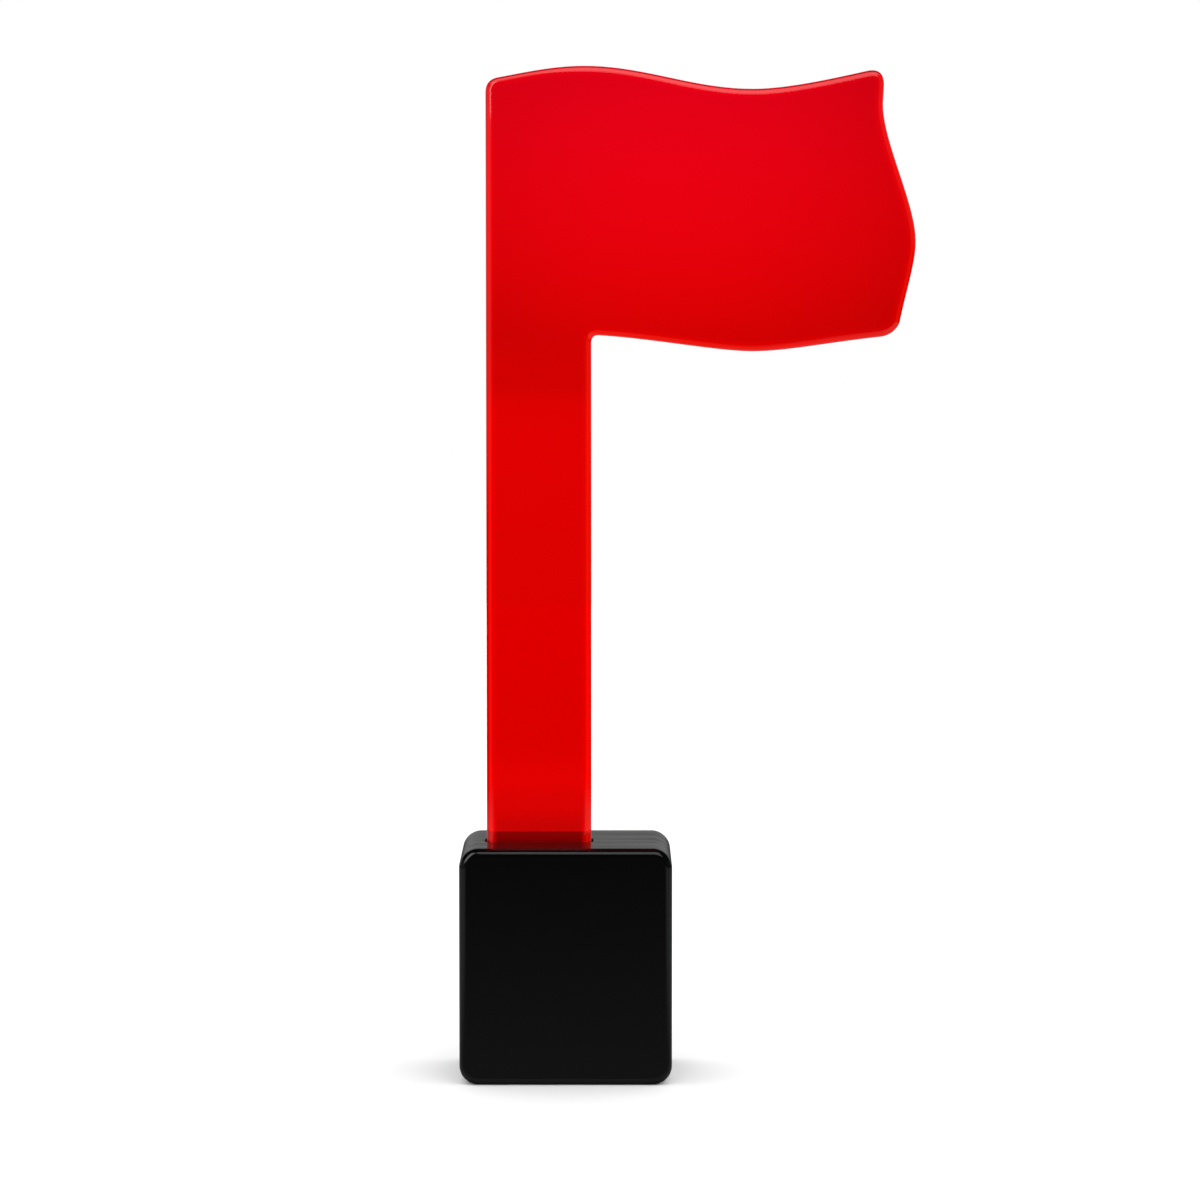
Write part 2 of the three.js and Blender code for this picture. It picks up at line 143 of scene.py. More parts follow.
# %% Blocks and rods
def block(name, low, high):
    """A box between two corners."""
    bpy.ops.object.select_all(action="DESELECT")
    low, high = Vector(low), Vector(high)
    bpy.ops.mesh.primitive_cube_add(size=1, location=(low + high) / 2, scale=high - low)
    return settle(name)


def rod(name, foot, radius, length, axis="Z", sides=48):
    """A rod that starts at its foot and runs along an axis."""
    bpy.ops.object.select_all(action="DESELECT")
    turn = {"X": (0, math.pi / 2, 0), "Y": (math.pi / 2, 0, 0), "Z": (0, 0, 0)}[axis]
    middle = Vector(foot)
    middle["XYZ".index(axis)] += length / 2
    bpy.ops.mesh.primitive_cylinder_add(
        vertices=sides, radius=radius, depth=length, location=middle, rotation=turn
    )
    return settle(name)


# %% Rounding edges
NEAR = 1e-6


def along(axis):
    """A test for edges that run along an axis."""
    keep = [i for i in range(3) if i != "XYZ".index(axis)]
    return lambda a, b: all(abs(a[i] - b[i]) < NEAR for i in keep)


def lying_at(axis, *places):
    """A test for edges that lie in a plane across an axis."""
    i = "XYZ".index(axis)
    return lambda a, b: any(abs(a[i] - p) < NEAR and abs(b[i] - p) < NEAR for p in places)


def select_edges(piece, test):
    """Opens the piece in edit mode with the edges selected whose two ends pass the test."""
    pick(piece)
    bpy.ops.object.mode_set(mode="EDIT")
    bpy.ops.mesh.select_mode(type="EDGE")
    bpy.ops.mesh.select_all(action="DESELECT")
    mesh = bmesh.from_edit_mesh(piece.data)
    chosen = [e for e in mesh.edges if test(e.verts[0].co, e.verts[1].co)]
    for edge in chosen:
        edge.select_set(True)
    bmesh.update_edit_mesh(piece.data)
    return len(chosen)


def round_edges(piece, test, radius, segments):
    """Rounds the edges whose two ends pass the test. One segment makes a chamfer."""
    count = select_edges(piece, test)
    bpy.ops.mesh.bevel(
        offset=radius, segments=segments, profile=0.5, affect="EDGES", clamp_overlap=False
    )
    bpy.ops.object.mode_set(mode="OBJECT")
    return count


def rounded_block(name, low, high, radius, axis, segments=12):
    """A box whose four edges along an axis are rounded."""
    piece = block(name, low, high)
    round_edges(piece, along(axis), radius, segments)
    return piece


# %% Cutting away, adding on, and the last polish
def combine(piece, other, operation):
    """Cuts the other solid out of the piece, or makes it part of the piece."""
    knife = piece.modifiers.new("combine", "BOOLEAN")
    knife.operation = operation
    knife.solver = "EXACT"
    knife.object = other
    pick(piece)
    bpy.ops.object.modifier_apply(modifier=knife.name)
    discard(other)
    return piece


def cut(piece, other):
    return combine(piece, other, "DIFFERENCE")


def add(piece, other):
    return combine(piece, other, "UNION")


def smooth(piece, angle=38):
    """Shades round parts as round and keeps large flats flat."""
    pick(piece)
    bpy.ops.object.shade_smooth_by_angle(angle=math.radians(angle))
    weigh = piece.modifiers.new("weigh", "WEIGHTED_NORMAL")
    weigh.keep_sharp = True
    bpy.ops.object.modifier_apply(modifier=weigh.name)
    mesh = bmesh.new()
    mesh.from_mesh(piece.data)
    open_edges = sum(1 for e in mesh.edges if len(e.link_faces) != 2)
    print(piece.name, "faces:", len(mesh.faces), "open edges:", open_edges)
    mesh.free()
    return piece


# %% [markdown]
# ## Shader maths in Python
#
# A finish is a sum of masks and patterns. Wrapping a socket in a small class lets a mask be
# written as `1 - slope * 2`, and each operator adds the Math node that does it.


# %% A socket that does sums
class Signal:
    def __init__(self, finish, socket):
        self.finish, self.socket = finish, socket

    def maths(self, operation, first, second=0.0):
        node = self.finish.node("Math", {"operation": operation}, {0: first, 1: second})
        return self.finish.out(node)

    def __add__(self, other):
        return self.maths("ADD", self, other)

    def __radd__(self, other):
        return self.maths("ADD", other, self)

    def __sub__(self, other):
        return self.maths("SUBTRACT", self, other)

    def __rsub__(self, other):
        return self.maths("SUBTRACT", other, self)

    def __mul__(self, other):
        return self.maths("MULTIPLY", self, other)

    def __rmul__(self, other):
        return self.maths("MULTIPLY", other, self)

    def __truediv__(self, other):
        return self.maths("DIVIDE", self, other)

    def __pow__(self, other):
        return self.maths("POWER", self, other)

    def __abs__(self):
        return self.maths("ABSOLUTE", self)

    def step(self, start, end):
        """0 below start, 1 above end, and a soft rise between them."""
        node = self.finish.node(
            "MapRange", {"interpolation_type": "SMOOTHSTEP"},
            {"Value": self, "From Min": start, "From Max": end},
        )
        return self.finish.out(node, "Result")


# %% A finish, which is one material
class Finish:
    def __init__(self, name):
        self.material = bpy.data.materials.new(name)
        self.material.use_nodes = True
        self.tree = self.material.node_tree
        self.tree.nodes.clear()
        self.output = self.node("OutputMaterial")
        self.place = self.out(self.node("TexCoord"), "Object")

    def node(self, kind, settings=None, sockets=None):
        """Adds a node. Its settings come first, then the values or links of its sockets."""
        node = self.tree.nodes.new("ShaderNode" + kind)
        for key, value in (settings or {}).items():
            if key == "stops":
                self.set_stops(node.color_ramp, value)
            else:
                setattr(node, key, value)
        for key, value in (sockets or {}).items():
            if isinstance(value, Signal):
                self.tree.links.new(value.socket, node.inputs[key])
            else:
                node.inputs[key].default_value = value
        return node

    @staticmethod
    def set_stops(ramp, stops):
        ramp.interpolation = "EASE"
        while len(ramp.elements) < len(stops):
            ramp.elements.new(0.5)
        for element, (at, level) in zip(ramp.elements, stops):
            element.position = at
            element.color = (level, level, level, 1)

    def out(self, node, name=0):
        return Signal(self, node.outputs[name])

    def stretched(self, scale, centre=(0, 0, 0)):
        """Object coordinates moved to a centre and stretched."""
        place = [-c * s for c, s in zip(centre, scale)]
        node = self.node("Mapping", None, {"Vector": self.place, "Location": place, "Scale": scale})
        return self.out(node)

    def axes(self, centre=(0, 0, 0)):
        """Three signals: millimetres from a centre along X, Y and Z."""
        place = self.stretched((1 / MM,) * 3, centre)
        node = self.node("SeparateXYZ", None, {0: place})
        return [self.out(node, axis) for axis in "XYZ"]

    def facing(self):
        """Three signals: how far the surface faces X, Y and Z."""
        node = self.node("SeparateXYZ", None, {0: self.out(self.node("TexCoord"), "Normal")})
        return [self.out(node, axis) for axis in "XYZ"]

    def noise(self, scale, detail=3.0, roughness=0.55, stretch=(1, 1, 1)):
        """Noise from 0 to 1. The scale is grains in a metre."""
        place = self.stretched(stretch)
        node = self.node(
            "TexNoise", None,
            {"Vector": place, "Scale": scale, "Detail": detail, "Roughness": roughness},
        )
        return self.out(node)

    def bump(self, height, depth, strength=1.0):
        """A Normal that follows a height from 0 to 1, as deep as given in metres."""
        node = self.node(
            "Bump", None, {"Height": height, "Distance": depth, "Strength": strength}
        )
        return self.out(node)

    def colours(self, factor, low, high):
        """A colour between two, each given in numbers or as a signal."""
        low, high = (c if isinstance(c, Signal) else (*c, 1) for c in (low, high))
        node = self.node("Mix", {"data_type": "RGBA"}, {"Factor": factor, 6: low, 7: high})
        return self.out(node, 2)

    def principled(self, **sockets):
        names = {key.replace("_", " "): value for key, value in sockets.items()}
        for key in ("Base Color", "Emission Color"):
            if key in names and not isinstance(names[key], Signal):
                names[key] = (*names[key], 1)
        node = self.node("BsdfPrincipled", None, names)
        self.tree.links.new(node.outputs[0], self.output.inputs["Surface"])
        return self.material


def dress(piece, material):
    """The piece gets this one material."""
    piece.data.materials.clear()
    piece.data.materials.append(material)


# %% [markdown]
# ## The studio
#
# A pale round floor and a white surround. A black gloss box shows whatever stands round it, so
# floor and surround look white to the eye and through the clear sheet, but a reflection meets a
# darker version of them, painted as glow on the floor: bright behind and beside the object, dim in
# front of it, with a painted strip of light just before the box's foot and painted black shade
# under the box. The mirrored floor ends after a hand's width, or it would whiten the sheet's rims.
# The white surround and two wide soft suns light the floor evenly out to its edge. Softboxes high
# in front only draw the thin light lines on glossy rims.

# %% Floor
FLOOR_RADIUS = 0.6

bpy.ops.object.select_all(action="DESELECT")
bpy.ops.mesh.primitive_circle_add(vertices=128, radius=FLOOR_RADIUS, fill_type="NGON")
floor = settle("floor")
print("floor radius", FLOOR_RADIUS, "m")

# %% Finish of the floor
FLOOR_WHITE, FLOOR_THROUGH_SHEET = 0.93, 0.8
BESIDE_LIGHT, BESIDE_NEAR, BESIDE_FAR = 0.37, 0.19, 0.26
FRONT_LIGHT, FRONT_FADE = 0.14, 0.36
FOOT_LIGHT, FOOT_FADE = 0.15, 0.004
box_front, box_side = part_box("front_cover")[0].y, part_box("front_cover")[1].x
box_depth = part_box("rear_case")[1].y - box_front

pale = Finish("pale_floor")
path = pale.node("LightPath")
mirrored = pale.out(path, "Glossy Depth").step(0, 1)
through = pale.out(path, "Transmission Depth").step(0, 1)
where = pale.node("SeparateXYZ", None, {0: pale.place})
sideways, ahead = abs(pale.out(where, "X")), pale.out(where, "Y") * -1 + box_front
fade = 1 - ahead / FRONT_FADE
fade = fade.maths("MAXIMUM", fade, 0)
# A painted strip of light in the mirrored floor, just in front of the box's foot.
front_light = fade * fade * FRONT_LIGHT + (1 - ahead.step(0, FOOT_FADE)) * FOOT_LIGHT
far_off = (sideways * sideways + ahead * ahead).step(BESIDE_NEAR ** 2, BESIDE_FAR ** 2)
beside_light = BESIDE_LIGHT * (1 - far_off)
in_front = (1 - sideways.step(0.015, 0.085)) * ahead.step(-0.03, 0.0)
open_light = beside_light + (front_light - beside_light) * in_front
# Under the box the mirrored floor is painted black: painted shade where the box stands.
within_sides = 1 - (sideways - box_side).step(-1.5 * MM, 0.5 * MM)
within_depth = (ahead + box_depth).step(-1.5 * MM, 0) * (1 - ahead.step(-0.8 * MM, 0.8 * MM))
reflected = open_light * (1 - within_sides * within_depth)
seen_white = FLOOR_WHITE - through * (FLOOR_WHITE - FLOOR_THROUGH_SHEET)
dress(floor, pale.principled(
    Base_Color=seen_white * (1 - mirrored), Roughness=1.0, Specular_IOR_Level=0.0,
    Emission_Color=reflected * mirrored, Emission_Strength=1.0,
))
print("mirrored floor: beside", BESIDE_LIGHT, "front", FRONT_LIGHT, "foot", FOOT_LIGHT)

# %% Surround
SEEN_WHITE = 1.0
FRONT_GLOW = 0.012
BACK_GLOW = 0.36
LEFT_GLOW = 0.25
RIGHT_GLOW = 0.06

world = bpy.data.worlds.new("surround")
bpy.context.scene.world = world
world.use_nodes = True
sky = world.node_tree
sky.nodes.clear()


class Surround(Finish):
    def __init__(self, tree):
        self.tree = tree
        self.output = self.node("OutputWorld")
        self.place = self.out(self.node("TexCoord"), "Generated")


studio = Surround(sky)
direction = studio.node("SeparateXYZ", None, {0: studio.place})
to_right, up = studio.out(direction, "X"), studio.out(direction, "Z")
at_back = studio.out(direction, "Y").step(0.2, 0.8) * BACK_GLOW
at_sides = to_right.step(0.1, 1.1) * RIGHT_GLOW + (to_right * -1).step(0.1, 1.1) * LEFT_GLOW
low_down = (1 - up.step(0.15, 0.5)) * up.step(-0.07, -0.01)
glow = FRONT_GLOW + (at_back + at_sides) * low_down
seen = studio.node("LightPath")
level = SEEN_WHITE + (glow - SEEN_WHITE) * studio.out(seen, "Glossy Depth").step(0, 1)
light = studio.node("Background", None, {"Color": (1, 1, 1, 1), "Strength": level})
sky.links.new(light.outputs[0], studio.output.inputs["Surface"])
bpy.context.scene.view_settings.view_transform = "Standard"
print("surround: front", FRONT_GLOW, "back", BACK_GLOW, "sides", LEFT_GLOW, RIGHT_GLOW)


# %% Softboxes and suns
MIDDLE = Vector((0.01, 0, 0.06))


def aim(lamp, place, target):
    lamp.location = place
    lamp.rotation_euler = (Vector(target) - Vector(place)).to_track_quat("-Z", "Y").to_euler()
    lamp.visible_camera = lamp.visible_transmission = False
    bpy.context.scene.collection.objects.link(lamp)


def softbox(name, place, size, radiance):
    """An area light for highlights. Its power follows from its size and radiance."""
    data = bpy.data.lights.new(name, "AREA")
    data.shape = "RECTANGLE"
    data.size, data.size_y = size
    data.energy = radiance * math.pi * size[0] * size[1]
    lamp = bpy.data.objects.new(name, data)
    lamp.visible_diffuse = False
    aim(lamp, place, MIDDLE)
    print(name, "power", round(data.energy, 2), "W")


def soft_sun(name, place, spread, strength):
    """A sun as wide as a softbox, for even light and soft shadows, with no highlight."""
    data = bpy.data.lights.new(name, "SUN")
    data.angle = math.radians(spread)
    data.energy = strength
    lamp = bpy.data.objects.new(name, data)
    lamp.visible_glossy = False
    aim(lamp, place, (0, 0, 0))
    print(name, "spreads over", spread, "degrees")


softbox("key", (0.13, -0.36, 0.48), (0.38, 0.4), 1.45)
softbox("corner_light", (-0.26, -0.32, 0.31), (0.22, 0.46), 2.7)
soft_sun("front_sun", (0.12, -0.7, 0.7), 50, 0.6)
soft_sun("wide_sun", (0, 0, 1), 150, 0.65)

# %% [markdown]
# ## The sheet: flag, pole and foot
#
# The real sheet is cut by laser or router from one piece of clear red plastic, its edges are
# rounded, and it is polished. A filled flat curve is the natural start: its knots lie where the
# waves of the flag turn, so a dozen knots draw the whole outline. The face is then pulled to the
# sheet's thickness, its rims get a round bevel, and the foot is cut off square, because a flat
# end lets the light in. Last, a ring set in from the rim splits each face, so that every point can
# carry how near the rim it lies, for the glow.

# %% Sizes of the sheet
sheet_low, sheet_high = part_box("flag")
case_low, case_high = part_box("rear_case")
POLE_WIDTH = 10.9 * MM
POLE_REACH = 52.7 * MM
TOP_DIP = 2.35 * MM
BOTTOM_SAG = 1.65 * MM
FLY_SWAY = 3.45 * MM
FLAG_CORNER = 1.3 * MM
INNER_FILLET = 0.75 * MM
SHEET_ROUND = 0.75 * MM
CREST_AT, DIP_AT, BELLY_AT = 0.23, 0.62, 0.35
LONG_EASE, SHORT_EASE = 0.14, 0.08

hoist, inner = sheet_low.x, sheet_low.x + POLE_WIDTH
low, top = case_high.z + POLE_REACH, sheet_high.z
flag_length, flag_height = sheet_high.x - sheet_low.x, top - low
print("flag in mm:", round(flag_length / MM, 2), "by", round(flag_height / MM, 2))


# %% Pieces of outline
def straight(a, b):
    a, b = Vector(a), Vector(b)
    return a, a.lerp(b, 1 / 3), a.lerp(b, 2 / 3), b


def corner(a, tip, b):
    """A curve that leaves a towards the tip and reaches b from it."""
    a, tip, b = Vector(a), Vector(tip), Vector(b)
    return a, a.lerp(tip, 2 / 3), b.lerp(tip, 2 / 3), b


def wave(a, leave, arrive, b):
    return tuple(Vector(p) for p in (a, leave, arrive, b))


# %% The outline, counter-clockwise from the foot
far = sheet_high.x
waist = far - FLY_SWAY
waist_in = waist + 0.1 * MM
crest_x, dip_x = hoist + CREST_AT * flag_length, hoist + DIP_AT * flag_length
belly_z = low + BELLY_AT * flag_height
long, short = LONG_EASE * flag_length, SHORT_EASE * flag_length
tall, slight = LONG_EASE * flag_height, SHORT_EASE * flag_height
r = FLAG_CORNER
foot_z = sheet_low.z - 2 * SHEET_ROUND
lower_corner = (waist, low - 0.1 * r)
fly_foot = (waist + 1.4 * r, low + r)
belly = (far, belly_z)
waist_top = (waist, top - 3 * r)
fly_head = (waist_in, top - 1.5 * r)
upper_corner = (waist - 1.3 * r, top - 0.4 * r)
dip, crest = (dip_x, top - TOP_DIP), (crest_x, top)
sag = (dip_x, low - BOTTOM_SAG)
hoist_head = (hoist + r, top - TOP_DIP / 2)
hoist_shoulder = (hoist, top - 0.6 * TOP_DIP - r)
fillet_start, fillet_end = (inner, low - INNER_FILLET), (inner + INNER_FILLET, low)

outline = [
    straight((hoist, foot_z), (inner, foot_z)),
    straight((inner, foot_z), fillet_start),
    corner(fillet_start, (inner, low), fillet_end),
    wave(fillet_end, (inner + long, low - 0.2 * BOTTOM_SAG), (dip_x - short, sag[1]), sag),
    wave(sag, (dip_x + short, sag[1]), (waist - long, low - BOTTOM_SAG / 2), lower_corner),
    corner(lower_corner, (waist + r, low + 0.1 * r), fly_foot),
    wave(fly_foot, (far - 0.7 * r, low + BELLY_AT / 2 * flag_height),
         (far, belly_z - slight), belly),
    wave(belly, (far, belly_z + tall), (waist, waist_top[1] - tall), waist_top),
    straight(waist_top, fly_head),
    corner(fly_head, (waist_in, top - 0.1 * r), upper_corner),
    wave(upper_corner, (upper_corner[0] - short, upper_corner[1] - TOP_DIP / 3),
         (dip_x + short, dip[1]), dip),
    wave(dip, (dip_x - long, dip[1]), (crest_x + long, top), crest),
    wave(crest, (crest_x - long / 2, top),
         (hoist_head[0] + long / 2, top - TOP_DIP / 4), hoist_head),
    corner(hoist_head, (hoist, top - 0.6 * TOP_DIP), hoist_shoulder),
    straight(hoist_shoulder, (hoist, foot_z)),
]
print("the outline has", len(outline), "stretches")

# %% Draw it as a flat curve and make it a face
bpy.ops.object.select_all(action="DESELECT")
bpy.ops.curve.primitive_bezier_curve_add()
drawing = bpy.context.object
curve = drawing.data
curve.dimensions = "2D"
curve.fill_mode = "BOTH"
curve.resolution_u = 20
spline = curve.splines[0]
spline.bezier_points.add(len(outline) - len(spline.bezier_points))
for i, (knot, stretch) in enumerate(zip(spline.bezier_points, outline)):
    knot.handle_left_type = knot.handle_right_type = "FREE"
    knot.co = (*stretch[0], 0)
    knot.handle_right = (*stretch[1], 0)
    knot.handle_left = (*outline[i - 1][2], 0)
spline.use_cyclic_u = True
pick(drawing)
bpy.ops.object.convert(target="MESH")
flag = bpy.context.object
flag.rotation_euler = (math.pi / 2, 0, 0)
flag.location = (0, sheet_high.y, 0)
settle("flag_sheet")
bpy.ops.object.mode_set(mode="EDIT")
bpy.ops.mesh.select_all(action="SELECT")
bpy.ops.mesh.remove_doubles(threshold=1e-7)
bpy.ops.mesh.dissolve_limited(angle_limit=math.radians(0.05))
bpy.ops.object.mode_set(mode="OBJECT")
print("knots along the outline:", len(flag.data.vertices), "faces:", len(flag.data.polygons))

# %% Thickness, rounded rims, square foot
GLOW_REACH = 0.45 * MM
GLOW_MERGE = 0.3 * MM
thickness = sheet_high.y - sheet_low.y
bpy.ops.object.mode_set(mode="EDIT")
bpy.ops.mesh.select_all(action="SELECT")
bpy.ops.mesh.extrude_region_move(TRANSFORM_OT_translate={"value": (0, -thickness, 0)})
bpy.ops.mesh.select_all(action="SELECT")
bpy.ops.mesh.normals_make_consistent(inside=False)
bpy.ops.object.mode_set(mode="OBJECT")
round_edges(flag, lying_at("Y", sheet_low.y, sheet_high.y), SHEET_ROUND, 8)
pick(flag)
bpy.ops.object.mode_set(mode="EDIT")
bpy.ops.mesh.select_all(action="SELECT")
bpy.ops.mesh.bisect(
    plane_co=(0, 0, sheet_low.z), plane_no=(0, 0, 1), use_fill=True, clear_inner=True
)
bpy.ops.mesh.select_mode(type="FACE")
bpy.ops.mesh.select_all(action="DESELECT")
mesh = bmesh.from_edit_mesh(flag.data)
for face in mesh.faces:
    face.select_set(abs(face.normal.y) > 0.9999 and len(face.verts) > 4)
bmesh.update_edit_mesh(flag.data)
bpy.ops.mesh.inset(thickness=GLOW_REACH, depth=0, use_boundary=True)
bpy.ops.mesh.remove_doubles(threshold=GLOW_MERGE)
mesh = bmesh.from_edit_mesh(flag.data)
inner_points = {v.index for v in mesh.verts if v.select}
bpy.ops.object.mode_set(mode="OBJECT")
nearness = flag.data.attributes.new("near_rim", "FLOAT", "POINT")
for i, value in enumerate(nearness.data):
    value.value = 0.0 if i in inner_points else 1.0
print("points away from the rim:", len(inner_points))
smooth(flag)
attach(flag, "sheet")
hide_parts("flag")

# %% [markdown]
# The finish of the sheet is one clear plastic. Light from behind comes through it tinted red, and
# the light that travels inside it leaves as a glow: even on the faces, strongest on the rounded
# rims, weaker where the pole meets the flag and at the very foot. The glow is an emission colour
# that reads where a point lies, how near the rim it is, and how far the surface turns away from
# the flat face. Some of it is painted highlight: a thin line just inside each rim is partly glow
# and partly painted highlight, with a little green and, on the left and upper rims, a little blue,
# and a rim that looks up gets a little white, painted where the studio's light would lie on it.

# %% Finish of the sheet
TINT = (0.37, 0.0, 0.0)
POLE_LEVELS = [  # height in mm above the desk, glow
    (24.6, 0.1), (26, 0.125), (28.2, 0.2), (31.2, 0.245), (34.5, 0.215),
    (50, 0.23), (67, 0.25), (69.5, 0.24), (72.5, 0.185), (76, 0.185),
]
FLAG_PEAK = 0.292
PEAK_X, PEAK_Z = 10.5, 93
SIDE_LOSS, LOW_LOSS = 0.065 / 20 ** 2, 0.052 / 12 ** 2
RIM_GLOW, FOOT_RIM_GLOW, LINE_GLOW_AND_HIGHLIGHT = 0.04, 0.16, 0.16
FAR_EDGE_GLOW, EDGE_LOSS = 0.2, 0.1
LINE_GREEN_GLOW_AND_HIGHLIGHT, FAR_EDGE_GREEN, LINE_PAINTED_HIGHLIGHT_BLUE, CREST_PAINTED_HIGHLIGHT = 0.004, 0.002, 0.003, 0.13
UPPER_BLUE, UPPER_BLUE_SIDE_LOSS = 0.0085, 0.000008

lit = Finish("lit_sheet_red")
x, y, z = lit.axes()
foot_mm, span_mm = POLE_LEVELS[0][0], POLE_LEVELS[-1][0] - POLE_LEVELS[0][0]
ramp = lit.node(
    "ValToRGB",
    {"stops": [((h - foot_mm) / span_mm, g) for h, g in POLE_LEVELS]},
    {"Fac": (z - foot_mm) / span_mm},
)
pole_glow = lit.out(ramp)
from_x, from_z = x - PEAK_X, z - PEAK_Z
flag_glow = FLAG_PEAK - from_x * from_x * SIDE_LOSS - from_z * from_z * LOW_LOSS
in_flag = z.step(74, 80)
face_glow = pole_glow + (flag_glow - pole_glow) * in_flag
facing_x, facing_y, facing_z = lit.facing()
turned = 1 - abs(facing_y)
near = lit.out(lit.node("Attribute", {"attribute_name": "near_rim"}), "Fac")
# The line where the rounding starts: glow, and partly painted highlight.
line = turned.step(0.01, 0.1) * (1 - turned.step(0.2, 0.42))
outer = turned.step(0.22, 0.45)
far_side = (facing_x - facing_z).step(-0.3, 0.4)
# Painted highlight: white on the line where a rim looks up, standing in for the studio's light.
crest = facing_z.step(0.3, 0.8) * line
at_foot = 1 - z.step(25.5, 28)
red = (face_glow + near * near * (RIM_GLOW + at_foot * FOOT_RIM_GLOW) + line * LINE_GLOW_AND_HIGHLIGHT
       + outer * (far_side * FAR_EDGE_GLOW - EDGE_LOSS))
# The line's green and blue and the crest's white are painted highlight; the far edge's green is
# part of its orange glow.
green = line * LINE_GREEN_GLOW_AND_HIGHLIGHT + outer * far_side * FAR_EDGE_GREEN + crest * CREST_PAINTED_HIGHLIGHT
# A faint blue added to the glow high on the flag, most in its middle and less towards its sides.
upper_blue = z.step(74, 106) * (UPPER_BLUE - from_x * from_x * UPPER_BLUE_SIDE_LOSS)
blue = upper_blue + line * (1 - far_side) * LINE_PAINTED_HIGHLIGHT_BLUE + crest * CREST_PAINTED_HIGHLIGHT
glow_colour = lit.node("CombineColor", None, {"Red": red, "Green": green, "Blue": blue})
polish = lit.noise(900, detail=2) * 0.03 + 0.02
dress(flag, lit.principled(
    Base_Color=TINT, Transmission_Weight=1.0, IOR=1.49, Roughness=polish,
    Specular_IOR_Level=0.06, Emission_Color=lit.out(glow_colour), Emission_Strength=1.0,
))
print("glow levels along the pole:", len(POLE_LEVELS))

# %% [markdown]
# ## The box
#
# The box is two mouldings. The front cover is a shallow gloss plate with a lip, two catches and
# two long screw posts. The rear case is a deep satin cup with the slot in its top and the power
# inlet in its back. Both start as one rounded block: the four long corners first, then the rim,
# as the rim's rounding has to run round the finished corners.

# %% Sizes of the box
cover_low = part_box("front_cover")[0]
WALL = 1.5 * MM
FLOOR = 2 * MM
CORNER_RADIUS = 2 * MM
RIM_ROUND = 0.75 * MM
COVER_THICKNESS = 0.95 * MM
LIP_DEPTH = 1.5 * MM
LIP_WALL = 0.8 * MM
LIP_CLEARANCE = 0.1 * MM
CAVITY_CORNER = 0.5 * MM
half_width, height = case_high.x, case_high.z
inner_x, inner_top = half_width - WALL, height - WALL
plate_y = cover_low.y + COVER_THICKNESS
seam_y = cover_low.y + 1 * MM
lip_end = seam_y + LIP_DEPTH
rear_inner = case_high.y - WALL
PAST = 1 * MM
OVERLAP = 0.2 * MM
EDGE_BREAK = 0.06 * MM
print("box in mm:", [round(v / MM, 2) for v in (2 * half_width, case_high.y * 2, height)])


# %% The hollow of the case, drawn in on every side
def hollow(name, inset, y0, y1):
    low_corner = (inset - inner_x, y0, FLOOR + inset)
    high_corner = (inner_x - inset, y1, inner_top - inset)
    radius = max(CAVITY_CORNER - inset, 0.2 * MM)
    return rounded_block(name, low_corner, high_corner, radius, "Y", 6)


# %% Front cover: plate and lip
cover = rounded_block(
    "cover", (-half_width, cover_low.y, 0), (half_width, plate_y, height), CORNER_RADIUS, "Y", 16
)
round_edges(cover, lying_at("Y", cover_low.y), RIM_ROUND, 8)
round_edges(cover, lying_at("Y", plate_y), EDGE_BREAK, 1)
lip = hollow("lip", LIP_CLEARANCE, plate_y - OVERLAP, lip_end)
cut(lip, hollow("lip_hollow", LIP_CLEARANCE + LIP_WALL, plate_y - PAST, lip_end + PAST))
add(cover, lip)
print("plate and lip:", len(cover.data.polygons), "faces")

# %% Front cover: catches and screw posts
CATCH = Vector((3, 0.6, 0.4)) * MM
CATCH_SPACING = 10 * MM
POST_RADIUS = 1.7 * MM
POST_GAP = 0.2 * MM
PILOT_RADIUS = 0.85 * MM
PILOT_FOOT, PILOT_LENGTH = -0.8 * MM, 10 * MM
catch_end = lip_end - LIP_CLEARANCE
screw_middles = [middle_and_size(f"cover_screw_{i}")[0] for i in (1, 2)]
screw_places = [(middle.x, middle.z) for middle in screw_middles]

for side in (-1, 1):
    middle = side * CATCH_SPACING / 2
    add(cover, block(
        "catch",
        (middle - CATCH.x / 2, catch_end - CATCH.y, inner_top - LIP_CLEARANCE - LIP_WALL / 2),
        (middle + CATCH.x / 2, catch_end, inner_top + CATCH.z),
    ))
for post_x, post_z in screw_places:
    foot = (post_x, plate_y - OVERLAP, post_z)
    add(cover, rod("post", foot, POST_RADIUS, rear_inner - POST_GAP - foot[1], "Y"))
    foot = (post_x, PILOT_FOOT, post_z)
    cut(cover, rod("pilot", foot, PILOT_RADIUS, PILOT_LENGTH, "Y"))
smooth(cover)
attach(cover, "base")
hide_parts("front_cover")

# %% [markdown]
# The rear case is cut from its block in the order a toolmaker would think of it: the cavity, then
# the slot for the sheet, the mouth for the plug, the screw holes with their sunk seats, pockets
# for the catches and the magnets, and last the ledges that carry the circuit board.

# %% Rear case: shell
SEAM_BREAK = 0.05 * MM

case = rounded_block(
    "case", (-half_width, case_low.y, 0), (half_width, case_high.y, height), CORNER_RADIUS, "Y", 16
)
round_edges(case, lying_at("Y", case_high.y), RIM_ROUND, 8)
round_edges(case, lying_at("Y", case_low.y), SEAM_BREAK, 2)
cut(case, hollow("cavity", 0, case_low.y - PAST, rear_inner))
print("shell:", len(case.data.polygons), "faces")

